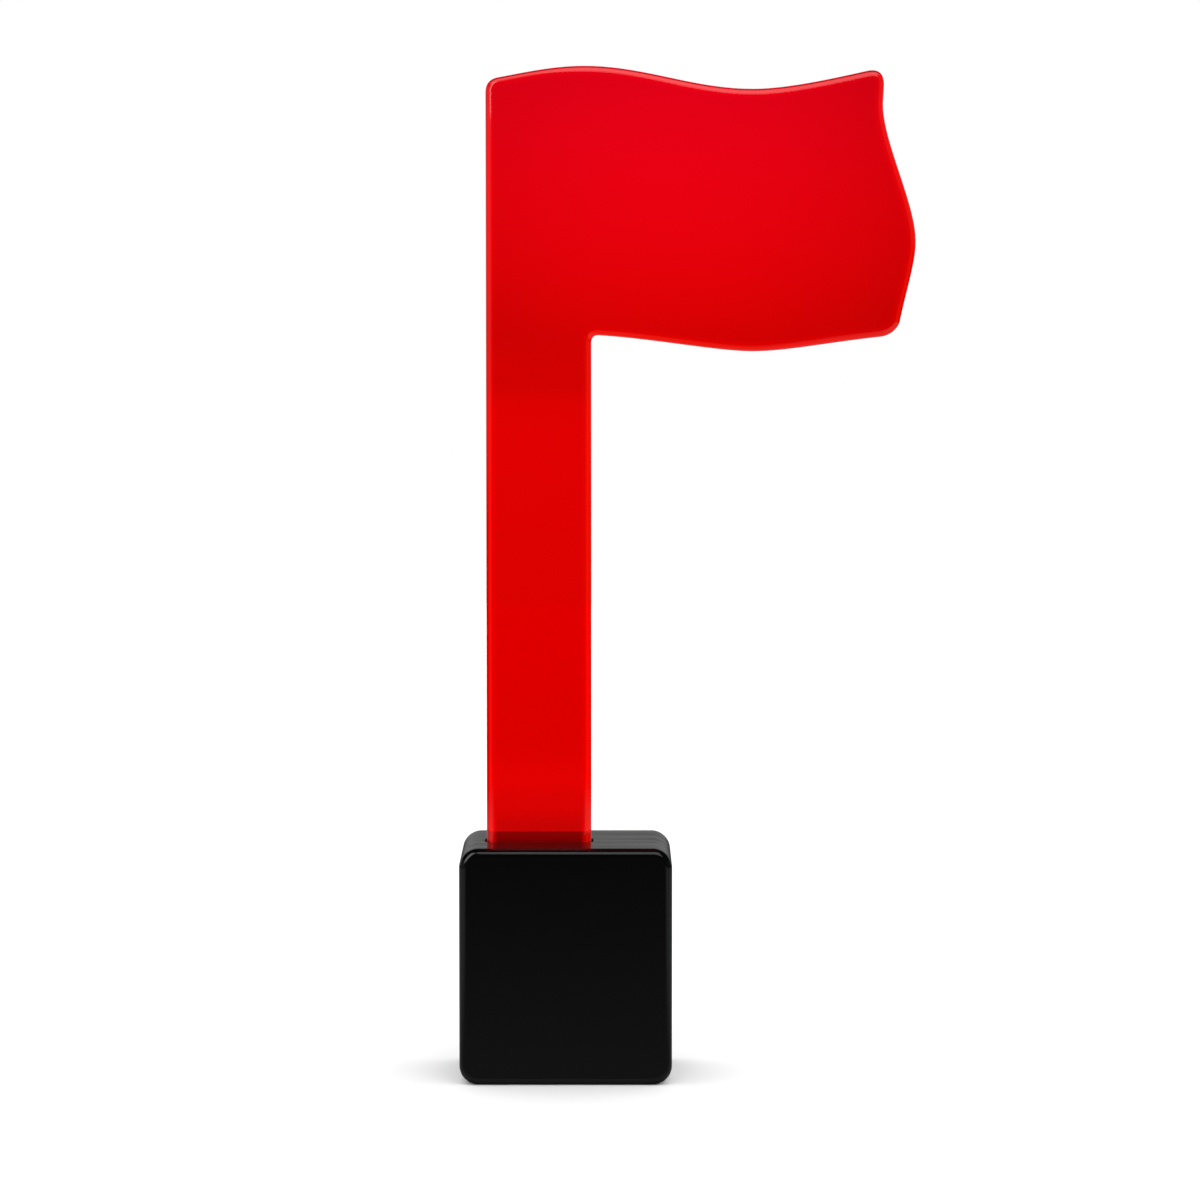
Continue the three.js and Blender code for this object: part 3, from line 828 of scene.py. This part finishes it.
# %% Rear case: slot for the sheet
SLOT_CLEARANCE, NEAR_SLOT = 0.2 * MM, 0.1 * MM
sheet_middle = (hoist + inner) / 2
sheet_y = (sheet_low.y + sheet_high.y) / 2
slot_x, slot_y = POLE_WIDTH / 2 + SLOT_CLEARANCE, thickness / 2 + SLOT_CLEARANCE
cut(case, rounded_block(
    "slot",
    (sheet_middle - slot_x, sheet_y - slot_y, inner_top - PAST),
    (sheet_middle + slot_x, sheet_y + slot_y, height + PAST),
    SHEET_ROUND, "Z", 8,
))


def slot_rim(a, b):
    """Edges of the slot in the top of the case."""
    return lying_at("Z", height)(a, b) and all(
        abs(p.x - sheet_middle) < slot_x + NEAR_SLOT and abs(p.y - sheet_y) < slot_y + NEAR_SLOT
        for p in (a, b)
    )


print("slot rim edges softened:", round_edges(case, slot_rim, EDGE_BREAK, 2))

# %% Rear case: power inlet and screw seats
inlet_low, inlet_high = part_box("usb_shell")
INLET_CLEARANCE = 0.25 * MM
INLET_CHAMFER = 1.05 * MM
HOLE_RADIUS, SEAT_RADIUS, SEAT_DEPTH = 0.95 * MM, 1.5 * MM, 0.8 * MM
OPENING_BREAK = 0.12 * MM
RIM_ZONE, SLOT_ZONE = 1.8 * MM, 3 * MM

mouth = block(
    "mouth",
    (inlet_low.x - INLET_CLEARANCE, rear_inner - PAST, inlet_low.z - INLET_CLEARANCE),
    (inlet_high.x + INLET_CLEARANCE, case_high.y + PAST, inlet_high.z + INLET_CLEARANCE),
)
under_edges = lying_at("Z", inlet_low.z - INLET_CLEARANCE)
round_edges(mouth, lambda a, b: along("Y")(a, b) and under_edges(a, b), INLET_CHAMFER, 1)
cut(case, mouth)
for hole_x, hole_z in screw_places:
    cut(case, rod("hole", (hole_x, rear_inner - PAST, hole_z), HOLE_RADIUS, 4 * MM, "Y"))
    seat = (hole_x, case_high.y - SEAT_DEPTH, hole_z)
    cut(case, rod("seat", seat, SEAT_RADIUS, 2 * MM, "Y"))


def rear_openings(a, b):
    """Edges of the openings in the rear wall, and not the wall's own rounded rim."""
    inside = all(abs(p.x) < half_width - RIM_ZONE and RIM_ZONE < p.z < height - SLOT_ZONE
                 for p in (a, b))
    return inside and lying_at("Y", case_high.y)(a, b)


print("openings softened:", round_edges(case, rear_openings, OPENING_BREAK, 2), "edges")

# %% Rear case: pockets and ledges
board_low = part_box("circuit_board")[0]
LEDGE_WIDTH, LEDGE_HEIGHT, SOLDER_GAP = 1.2 * MM, 0.9 * MM, 0.05 * MM
MAGNET_FLOOR, MAGNET_CLEARANCE, MAGNET_CUT = 0.9 * MM, 0.1 * MM, 3 * MM

for side in (-1, 1):
    middle = side * CATCH_SPACING / 2
    reach = CATCH.x / 2 + LIP_CLEARANCE
    cut(case, block(
        "pocket",
        (middle - reach, catch_end - CATCH.y - LIP_CLEARANCE, inner_top - LIP_WALL / 2),
        (middle + reach, catch_end + LIP_CLEARANCE, inner_top + CATCH.z + LIP_CLEARANCE),
    ))
    magnet, size = middle_and_size("magnet_1" if side < 0 else "magnet_2")
    pocket = (magnet.x, magnet.y, MAGNET_FLOOR)
    cut(case, rod("magnet_pocket", pocket, size.x / 2 + MAGNET_CLEARANCE, MAGNET_CUT))
    inward, outward = side * (inner_x - LEDGE_WIDTH), side * (inner_x + WALL / 2)
    ledge_top = board_low.z - SOLDER_GAP
    add(case, block(
        "ledge",
        (min(inward, outward), board_low.y, ledge_top - LEDGE_HEIGHT),
        (max(inward, outward), rear_inner + WALL / 2, ledge_top),
    ))
smooth(case)
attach(case, "base")
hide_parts("rear_case")

# %% [markdown]
# Both mouldings are the same black plastic with different skins. The cover's tool was polished,
# so it is dark and glossy with a very fine ripple. The case's tool was left satin, and its skin
# has fine scratches and long soft streaks along the box. They spread a low light into a grey
# sheen, so they are noise that is stretched along X and feeds the roughness.

# %% Finish of the cover
gloss = Finish("cover_black_gloss")
ripple = gloss.noise(260, detail=2)
dust = gloss.noise(5200, detail=4, roughness=0.7)
dress(cover, gloss.principled(
    Base_Color=gloss.colours(dust, (0.0005, 0.0005, 0.0005), (0.0011, 0.0011, 0.0011)),
    Roughness=dust * 0.04 + ripple * 0.04 + 0.1,
    Specular_IOR_Level=0.5,
    Normal=gloss.bump(ripple * 0.6 + dust * 0.05, 0.012 * MM),
))

# %% Finish of the case
satin = Finish("case_black_satin")
scratch = satin.noise(900, detail=5, roughness=0.65, stretch=(0.12, 6, 6))
grain = satin.noise(7000, detail=3)
streak = satin.noise(900, detail=3, roughness=0.6, stretch=(0.05, 0.9, 0.9)).step(0.3, 0.7)
dress(case, satin.principled(
    Base_Color=satin.colours(grain, (0.0015, 0.0015, 0.0016), (0.003, 0.003, 0.0031)),
    Roughness=scratch * 0.1 + grain * 0.05 + streak * 0.1 + 0.12,
    Specular_IOR_Level=0.32,
    Normal=satin.bump(scratch * 0.7 + grain * 0.3, 0.006 * MM),
))
print("two black skins")

# %% [markdown]
# ## Screws
#
# Two pan-head screws hold the cover on from behind. The head is a rod with a bevelled top and a
# tapered cross pressed into it. The thread is a small triangle that the Screw modifier winds up
# the shank, which is how a real thread is rolled.

# %% One screw, standing on the origin with its head up
HEAD_RADIUS, HEAD_HEIGHT = 1.35 * MM, 0.7 * MM
SHANK_RADIUS, CORE_RADIUS, SHANK_LENGTH = 0.8 * MM, 0.58 * MM, 6 * MM
THREAD_PITCH, THREAD_BASE = 0.5 * MM, 0.34 * MM
THREAD_TURNS, THREAD_STEPS = 10, 20
THREAD_ROOT, THREAD_TIP = 0.85 * CORE_RADIUS, SHANK_RADIUS - 0.02 * MM
TIP_ROUND, HEAD_ROUND, HEAD_BREAK = 0.4 * MM, 0.3 * MM, 0.04 * MM
CROSS, CROSS_TAPER = Vector((1.6, 0.35, 0.35)) * MM, 0.72


def thread():
    """A ridge that winds up the shank, closed at both ends."""
    bpy.ops.object.select_all(action="DESELECT")
    bpy.ops.mesh.primitive_circle_add(vertices=3, radius=THREAD_BASE / 2)
    ridge = settle("thread")
    start = -SHANK_LENGTH + THREAD_PITCH
    tooth = ((THREAD_ROOT, -0.5), (THREAD_TIP, 0), (THREAD_ROOT, 0.5))
    for corner_point, (reach, rise) in zip(ridge.data.vertices, tooth):
        corner_point.co = (reach, 0, start + rise * THREAD_BASE)
    winding = ridge.modifiers.new("winding", "SCREW")
    winding.axis = "Z"
    winding.screw_offset = THREAD_PITCH
    winding.iterations = THREAD_TURNS
    winding.steps = winding.render_steps = THREAD_STEPS
    winding.use_merge_vertices = True
    pick(ridge)
    bpy.ops.object.modifier_apply(modifier=winding.name)
    bpy.ops.object.mode_set(mode="EDIT")
    bpy.ops.mesh.select_mode(type="EDGE")
    bpy.ops.mesh.select_all(action="DESELECT")
    bpy.ops.mesh.select_non_manifold()
    bpy.ops.mesh.fill_holes(sides=4)
    bpy.ops.mesh.select_all(action="SELECT")
    bpy.ops.mesh.normals_make_consistent(inside=False)
    bpy.ops.object.mode_set(mode="OBJECT")
    return ridge


screw = rod("screw", (0, 0, -SHANK_LENGTH), CORE_RADIUS, SHANK_LENGTH + HEAD_HEIGHT / 2, sides=32)
round_edges(screw, lying_at("Z", -SHANK_LENGTH), TIP_ROUND, 2)
add(screw, thread())
head = rod("head", (0, 0, 0), HEAD_RADIUS, HEAD_HEIGHT)
round_edges(head, lying_at("Z", HEAD_HEIGHT), HEAD_ROUND, 5)
round_edges(head, lying_at("Z", 0), HEAD_BREAK, 1)
add(screw, head)
for turned_cross in (CROSS, Vector((CROSS.y, CROSS.x, CROSS.z))):
    arm = block("arm", (-turned_cross.x / 2, -turned_cross.y / 2, HEAD_HEIGHT - CROSS.z),
                (turned_cross.x / 2, turned_cross.y / 2, HEAD_HEIGHT + PAST))
    for corner_point in arm.data.vertices:
        if corner_point.co.z < HEAD_HEIGHT:
            corner_point.co.x *= CROSS_TAPER
            corner_point.co.y *= CROSS_TAPER
    cut(screw, arm)
smooth(screw, 32)

# %% Both screws in their seats
for i, (hole_x, hole_z) in enumerate(screw_places, start=1):
    seat = (hole_x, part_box(f"cover_screw_{i}")[1].y - HEAD_HEIGHT, hole_z)
    copy = copy_to(screw, f"screw_{i}", seat, (-math.pi / 2, 0, 0))
    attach(copy, "base")
    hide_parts(f"cover_screw_{i}")
    print(copy.name, "in mm:", [round(v / MM, 2) for v in copy.dimensions])
screws = [bpy.data.objects[f"screw_{i}"] for i in (1, 2)]
discard(screw)

# %% [markdown]
# ## Power inlet
#
# The inlet is a socket folded from thin sheet: flat on top, with two slanted lower corners that
# stop a plug going in upside down. Two windows in its top take the plug's latches. Inside is a
# black tongue with five contacts on its underside.

# %% Inlet shell
SHELL_SHEET, SHELL_CHAMFER, SHELL_BEND, SHELL_BREAK = 0.3 * MM, 0.9 * MM, 0.22 * MM, 0.08 * MM
BEND_LOSS = 0.4
WINDOW_WIDTH, WINDOW_LENGTH, WINDOW_CORNER = 1.1 * MM, 1.3 * MM, 0.15 * MM
WINDOW_SPACING, WINDOW_SHIFT, WINDOW_CUT = 3.6 * MM, 0.6 * MM, 0.5 * MM
FOLD_SEAM, SEAM_END, SEAM_CUT = 0.08 * MM, 0.6 * MM, 0.5 * MM


def socket_form(name, inset, past):
    """The inlet's section, drawn in on every side. The slanted walls keep their thickness."""
    form = block(
        name,
        (inlet_low.x + inset, inlet_low.y - past, inlet_low.z + inset),
        (inlet_high.x - inset, inlet_high.y + past, inlet_high.z - inset),
    )
    bottom = lying_at("Z", inlet_low.z + inset)
    slant = SHELL_CHAMFER - inset * (2 - math.sqrt(2))
    round_edges(form, lambda a, b: along("Y")(a, b) and bottom(a, b), slant, 1)
    round_edges(form, along("Y"), SHELL_BEND - inset * BEND_LOSS, 4)
    return form


shell = socket_form("inlet", 0, 0)
cut(shell, socket_form("inlet_room", SHELL_SHEET, PAST))
window_y = (inlet_low.y + inlet_high.y) / 2 + WINDOW_SHIFT
for side in (-1, 1):
    window_x = side * WINDOW_SPACING / 2
    cut(shell, rounded_block(
        "window",
        (window_x - WINDOW_WIDTH / 2, window_y - WINDOW_LENGTH / 2, inlet_high.z - WINDOW_CUT),
        (window_x + WINDOW_WIDTH / 2, window_y + WINDOW_LENGTH / 2, inlet_high.z + PAST),
        WINDOW_CORNER, "Z", 3,
    ))
cut(shell, block("fold_seam", (-FOLD_SEAM / 2, inlet_low.y - PAST, inlet_low.z - PAST),
                 (FOLD_SEAM / 2, inlet_high.y - SEAM_END, inlet_low.z + SEAM_CUT)))
round_edges(shell, lying_at("Y", inlet_high.y), SHELL_BREAK, 2)
smooth(shell)
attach(shell, "base")
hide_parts("usb_shell")

# %% Contacts under the tongue
CONTACT = Vector((0.28, 2.6, 0.06)) * MM
CONTACT_PITCH, CONTACT_SETBACK, CONTACT_SINK = 0.65 * MM, 0.3 * MM, 0.02 * MM
CONTACT_CORNER, CONTACT_BREAK = 0.1 * MM, 0.03 * MM
TONGUE_DROP = 0.1 * MM

tongue_under = (inlet_low.z + inlet_high.z) / 2 - TONGUE_DROP
contact_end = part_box("usb_tongue")[1].y - CONTACT_SETBACK
contact = rounded_block(
    "contact", (-CONTACT.x / 2, contact_end - CONTACT.y, tongue_under - CONTACT.z),
    (CONTACT.x / 2, contact_end, tongue_under + CONTACT_SINK), CONTACT_CORNER, "Z", 4,
)
round_edges(contact, lying_at("Z", tongue_under - CONTACT.z), CONTACT_BREAK, 2)
smooth(contact)
contacts = []
for i in range(5):
    copy = copy_to(contact, f"inlet_contact_{i + 1}", ((i - 2) * CONTACT_PITCH, 0, 0))
    contacts.append(copy)
    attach(copy, "base")
discard(contact)
print("contacts:", len(contacts))

# %% [markdown]
# ## Small things on the board
#
# Each light has a round lens moulded into its window. The regulator stands on bent legs, and the
# large chip on a ring of flat pads, both in the thin gap that solder fills.

# %% Lenses
LENS_RADIUS, LENS_SINK, LENS_ROUND = 0.44 * MM, 0.2 * MM, 0.16 * MM

lights = [f"led_{i}" for i in range(1, 7)]
lights_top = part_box(lights[0])[1].z
lens = rod("lens", (0, 0, lights_top - LENS_SINK), LENS_RADIUS, LENS_SINK, sides=40)
round_edges(lens, lying_at("Z", lights_top), LENS_ROUND, 5)
smooth(lens, 60)
lenses = []
for i, name in enumerate(lights, start=1):
    light = middle_and_size(name)[0]
    copy = copy_to(lens, f"led_lens_{i}", (light.x, light.y, 0))
    lenses.append(copy)
    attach(copy, "base")
discard(lens)
print("lenses:", len(lenses))

# %% Pads of the large chip
PAD = Vector((0.25, 0.5, 0.05)) * MM
PAD_PITCH, PAD_PROUD, PAD_CORNER = 0.5 * MM, 0.05 * MM, 0.08 * MM
PADS_ON_A_SIDE = 6
chip_middle, chip_size = middle_and_size("microcontroller")
chip_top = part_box("microcontroller")[1].z


def join(name, parts):
    pick(*parts)
    bpy.ops.object.join()
    return settle(name)


pads = []
for quarter in range(4):
    for i in range(PADS_ON_A_SIDE):
        across = (i - (PADS_ON_A_SIDE - 1) / 2) * PAD_PITCH
        out = chip_size.x / 2 - PAD.y / 2 + PAD_PROUD
        x_at, y_at = ((across, out), (out, across), (across, -out), (-out, across))[quarter]
        half_x, half_y = (PAD.x / 2, PAD.y / 2) if quarter % 2 == 0 else (PAD.y / 2, PAD.x / 2)
        pads.append(rounded_block(
            "pad", (chip_middle.x + x_at - half_x, chip_middle.y + y_at - half_y, chip_top),
            (chip_middle.x + x_at + half_x, chip_middle.y + y_at + half_y, chip_top + PAD.z),
            PAD_CORNER, "Z", 2,
        ))
chip_pads = join("chip_pads", pads)
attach(chip_pads, "base")
print("pads:", len(pads))

# %% Legs of the regulator
reg_low, reg_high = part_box("voltage_regulator")
LEG_WIDTH, LEG_SHEET, LEG_PITCH = 0.4 * MM, 0.12 * MM, 0.95 * MM
LEG_OUT, LEG_SLOPE, LEG_TOE, LEG_GAP = 0.25 * MM, 0.12 * MM, 0.18 * MM, 0.07 * MM


def bent_leg(x_at, side):
    """
    A strip that leaves the body at half height and bends up to the board. An extrusion leaves
    its faces in any order, so they are sorted at the end.
    """
    root = reg_low.y if side < 0 else reg_high.y
    middle_z = (reg_low.z + reg_high.z) / 2
    leg = block("leg", (x_at - LEG_WIDTH / 2, min(root, root + side * LEG_OUT), middle_z),
                (x_at + LEG_WIDTH / 2, max(root, root + side * LEG_OUT), middle_z + LEG_SHEET))
    pick(leg)
    bpy.ops.object.mode_set(mode="EDIT")
    bpy.ops.mesh.select_mode(type="FACE")
    for shift in ((0, side * LEG_SLOPE, reg_high.z - middle_z - LEG_GAP), (0, side * LEG_TOE, 0)):
        mesh = bmesh.from_edit_mesh(leg.data)
        tip = max(mesh.faces, key=lambda f: side * f.calc_center_median().y)
        for face in mesh.faces:
            face.select_set(face is tip)
        bmesh.update_edit_mesh(leg.data)
        bpy.ops.mesh.extrude_region_move(TRANSFORM_OT_translate={"value": shift})
    bpy.ops.mesh.select_all(action="SELECT")
    bpy.ops.mesh.normals_make_consistent(inside=False)
    bpy.ops.mesh.sort_elements(type="CURSOR_DISTANCE", elements={"FACE"})
    bpy.ops.object.mode_set(mode="OBJECT")
    return leg


reg_middle = (reg_low.x + reg_high.x) / 2
legs = [bent_leg(reg_middle + i * LEG_PITCH, -1) for i in (-1, 0, 1)]
legs += [bent_leg(reg_middle + i * LEG_PITCH, 1) for i in (-1, 1)]
regulator_legs = join("regulator_legs", legs)
smooth(regulator_legs, 25)
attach(regulator_legs, "base")

# %% [markdown]
# ## Magnets
#
# Two nickel-plated discs sit in the floor of the case. A pressed magnet always has a broken edge,
# so each disc gets a small bevel on both rims.

# %% Magnets
MAGNET_BREAK = 0.18 * MM

magnets = []
for i in (1, 2):
    magnet, size = middle_and_size(f"magnet_{i}")
    low_z, high_z = (corner_point.z for corner_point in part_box(f"magnet_{i}"))
    disc = rod(f"magnet_disc_{i}", (magnet.x, magnet.y, low_z), size.x / 2, size.z, sides=64)
    round_edges(disc, lying_at("Z", low_z, high_z), MAGNET_BREAK, 3)
    smooth(disc)
    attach(disc, "base")
    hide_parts(f"magnet_{i}")
    magnets.append(disc)

# %% [markdown]
# ## Finishes of the inner parts
#
# A part that is seldom seen still gets a real finish: moulded plastic has grain, plating has a
# brushed or pebbled skin, and a ceramic chip part has silver ends. Masks are made from where a
# point lies, measured from the part's own middle.

# %% Plastics and rubber
nodes = frame["nodes"]


def moulded(name, dark, light, roughness, grain_scale=4000, depth=0.004 * MM):
    """Plastic with a fine grain in colour, gloss and relief."""
    finish = Finish(name)
    grain = finish.noise(grain_scale, detail=4, roughness=0.65)
    cloud = finish.noise(grain_scale / 12, detail=2)
    return finish.principled(
        Base_Color=finish.colours(grain * 0.6 + cloud * 0.4, dark, light),
        Roughness=grain * 0.12 + cloud * 0.06 + roughness,
        Normal=finish.bump(grain, depth),
    )


white = moulded("white_plastic_satin", (0.78, 0.78, 0.75), (0.88, 0.88, 0.86), 0.35)
dress(nodes["flag_socket"], white)
rubber = moulded("grip_rubber", (0.028, 0.028, 0.03), (0.05, 0.05, 0.053), 0.72, 2600, 0.012 * MM)
for name in ("grip_front", "grip_rear"):
    dress(nodes[name], rubber)
light_body = moulded("led_body", (0.72, 0.72, 0.68), (0.84, 0.84, 0.8), 0.4, 9000)
for name in lights:
    dress(nodes[name], light_body)
chip_black = moulded("chip_epoxy", (0.006, 0.006, 0.0065), (0.014, 0.014, 0.015), 0.5, 12000)
for name in ("microcontroller", "voltage_regulator"):
    dress(nodes[name], chip_black)
tongue_black = moulded("tongue_plastic", (0.008, 0.008, 0.009), (0.016, 0.016, 0.017), 0.35)
dress(nodes["usb_tongue"], tongue_black)
print("plastics dressed")

# %% Metals
def metal(name, dark, light, roughness, stretch=(1, 1, 1), scale=3000, depth=0.002 * MM):
    """Plated metal. A long stretch makes brush marks, an even one a pebbled skin."""
    finish = Finish(name)
    marks = finish.noise(scale, detail=4, roughness=0.6, stretch=stretch)
    stain = finish.noise(500, detail=3)
    return finish.principled(
        Base_Color=finish.colours(marks * 0.5 + stain * 0.5, dark, light), Metallic=1.0,
        Roughness=marks * 0.12 + stain * 0.08 + roughness,
        Normal=finish.bump(marks, depth),
    )


zinc = metal("zinc_plate", (0.5, 0.51, 0.53), (0.66, 0.67, 0.69), 0.22)
for piece in (*screws, chip_pads, regulator_legs):
    dress(piece, zinc)
brushed = metal("brushed_can", (0.52, 0.52, 0.51), (0.7, 0.7, 0.69), 0.2, (0.1, 5, 1))
dress(nodes["crystal"], brushed)
nickel = metal("nickel_plate", (0.52, 0.51, 0.48), (0.68, 0.67, 0.64), 0.14, (5, 0.2, 5), 1500)
dress(shell, nickel)
for piece in magnets:
    dress(piece, nickel)
contact_metal = metal("contact_plate", (0.62, 0.55, 0.36), (0.75, 0.68, 0.48), 0.16)
for piece in contacts:
    dress(piece, contact_metal)
print("metals dressed")


# %% Lenses that glow, and ceramic parts with silver ends
glow = Finish("lens_glow")
swirl = glow.noise(3000, detail=3)
lens_material = glow.principled(
    Base_Color=glow.colours(swirl, (0.8, 0.5, 0.4), (0.9, 0.62, 0.5)),
    Roughness=swirl * 0.1 + 0.12,
    Emission_Color=glow.colours(swirl, (0.9, 0.02, 0.01), (1.0, 0.06, 0.03)),
    Emission_Strength=1.2,
)
for piece in lenses:
    dress(piece, lens_material)


TIN = (0.66, 0.66, 0.67)
END_BLUR = 0.06


def chip_part(node, body_dark, body_light, end_share):
    """A ceramic or film part whose two ends are tinned. Its long side says which ends."""
    middle, size = middle_and_size(node)
    along_x = size.x > size.y
    finish = Finish(node + "_finish")
    from_middle = finish.axes(middle)[0 if along_x else 1]
    body_reach = max(size.x, size.y) / 2 / MM * (1 - end_share)
    end = abs(from_middle).step(body_reach, body_reach + END_BLUR)
    speck = finish.noise(9000, detail=4, roughness=0.7)
    body = finish.colours(speck, body_dark, body_light)
    dress(nodes[node], finish.principled(
        Base_Color=finish.colours(end, body, TIN), Metallic=end,
        Roughness=speck * 0.15 + 0.38 - end * 0.12,
        Normal=finish.bump(speck, 0.004 * MM),
    ))


for name in ("capacitor_1", "capacitor_2", "capacitor_3"):
    chip_part(name, (0.36, 0.24, 0.13), (0.5, 0.36, 0.21), 0.42)
for name in ("resistor_1", "resistor_2"):
    chip_part(name, (0.01, 0.01, 0.011), (0.025, 0.025, 0.027), 0.4)
print("chip parts dressed")

# %% [markdown]
# The circuit board is glass cloth and resin under a green lacquer. Copper tracks lift the lacquer
# a little and show through as lighter lines, and the cut edge shows the pale cloth. The tracks
# are drawn by folding a coordinate into stripes and letting a coarse cell pattern choose, patch
# by patch, whether they run along or across the board.

# %% Circuit board
TRACK_PITCH = 0.7

lacquer = Finish("board_lacquer")
x, y, z = lacquer.axes()
patch = lacquer.out(lacquer.node(
    "TexVoronoi", {"distance": "MANHATTAN"}, {"Vector": lacquer.place, "Scale": 260.0}), "Color")
chooser = lacquer.out(lacquer.node("SeparateColor", None, {0: patch}), "Red")


def stripes(line):
    folded = line.maths("PINGPONG", line, TRACK_PITCH / 2)
    return 1 - folded.step(0.08, 0.12)


runs_along = chooser.step(0.35, 0.37)
covered = chooser.step(0.15, 0.17)
track = (stripes(y) * runs_along + stripes(x) * (1 - runs_along)) * covered
flat = abs(lacquer.facing()[2]).step(0.4, 0.6)
weave = lacquer.noise(6000, detail=3)
green = lacquer.colours(track, (0.004, 0.06, 0.022), (0.014, 0.13, 0.045))
cloth = lacquer.colours(weave, (0.35, 0.33, 0.2), (0.48, 0.46, 0.3))
dress(nodes["circuit_board"], lacquer.principled(
    Base_Color=lacquer.colours(flat, cloth, green),
    Roughness=0.75 - flat * 0.45 + weave * 0.08,
    Normal=lacquer.bump(track * flat + weave * 0.1, 0.02 * MM),
))
print("board dressed")
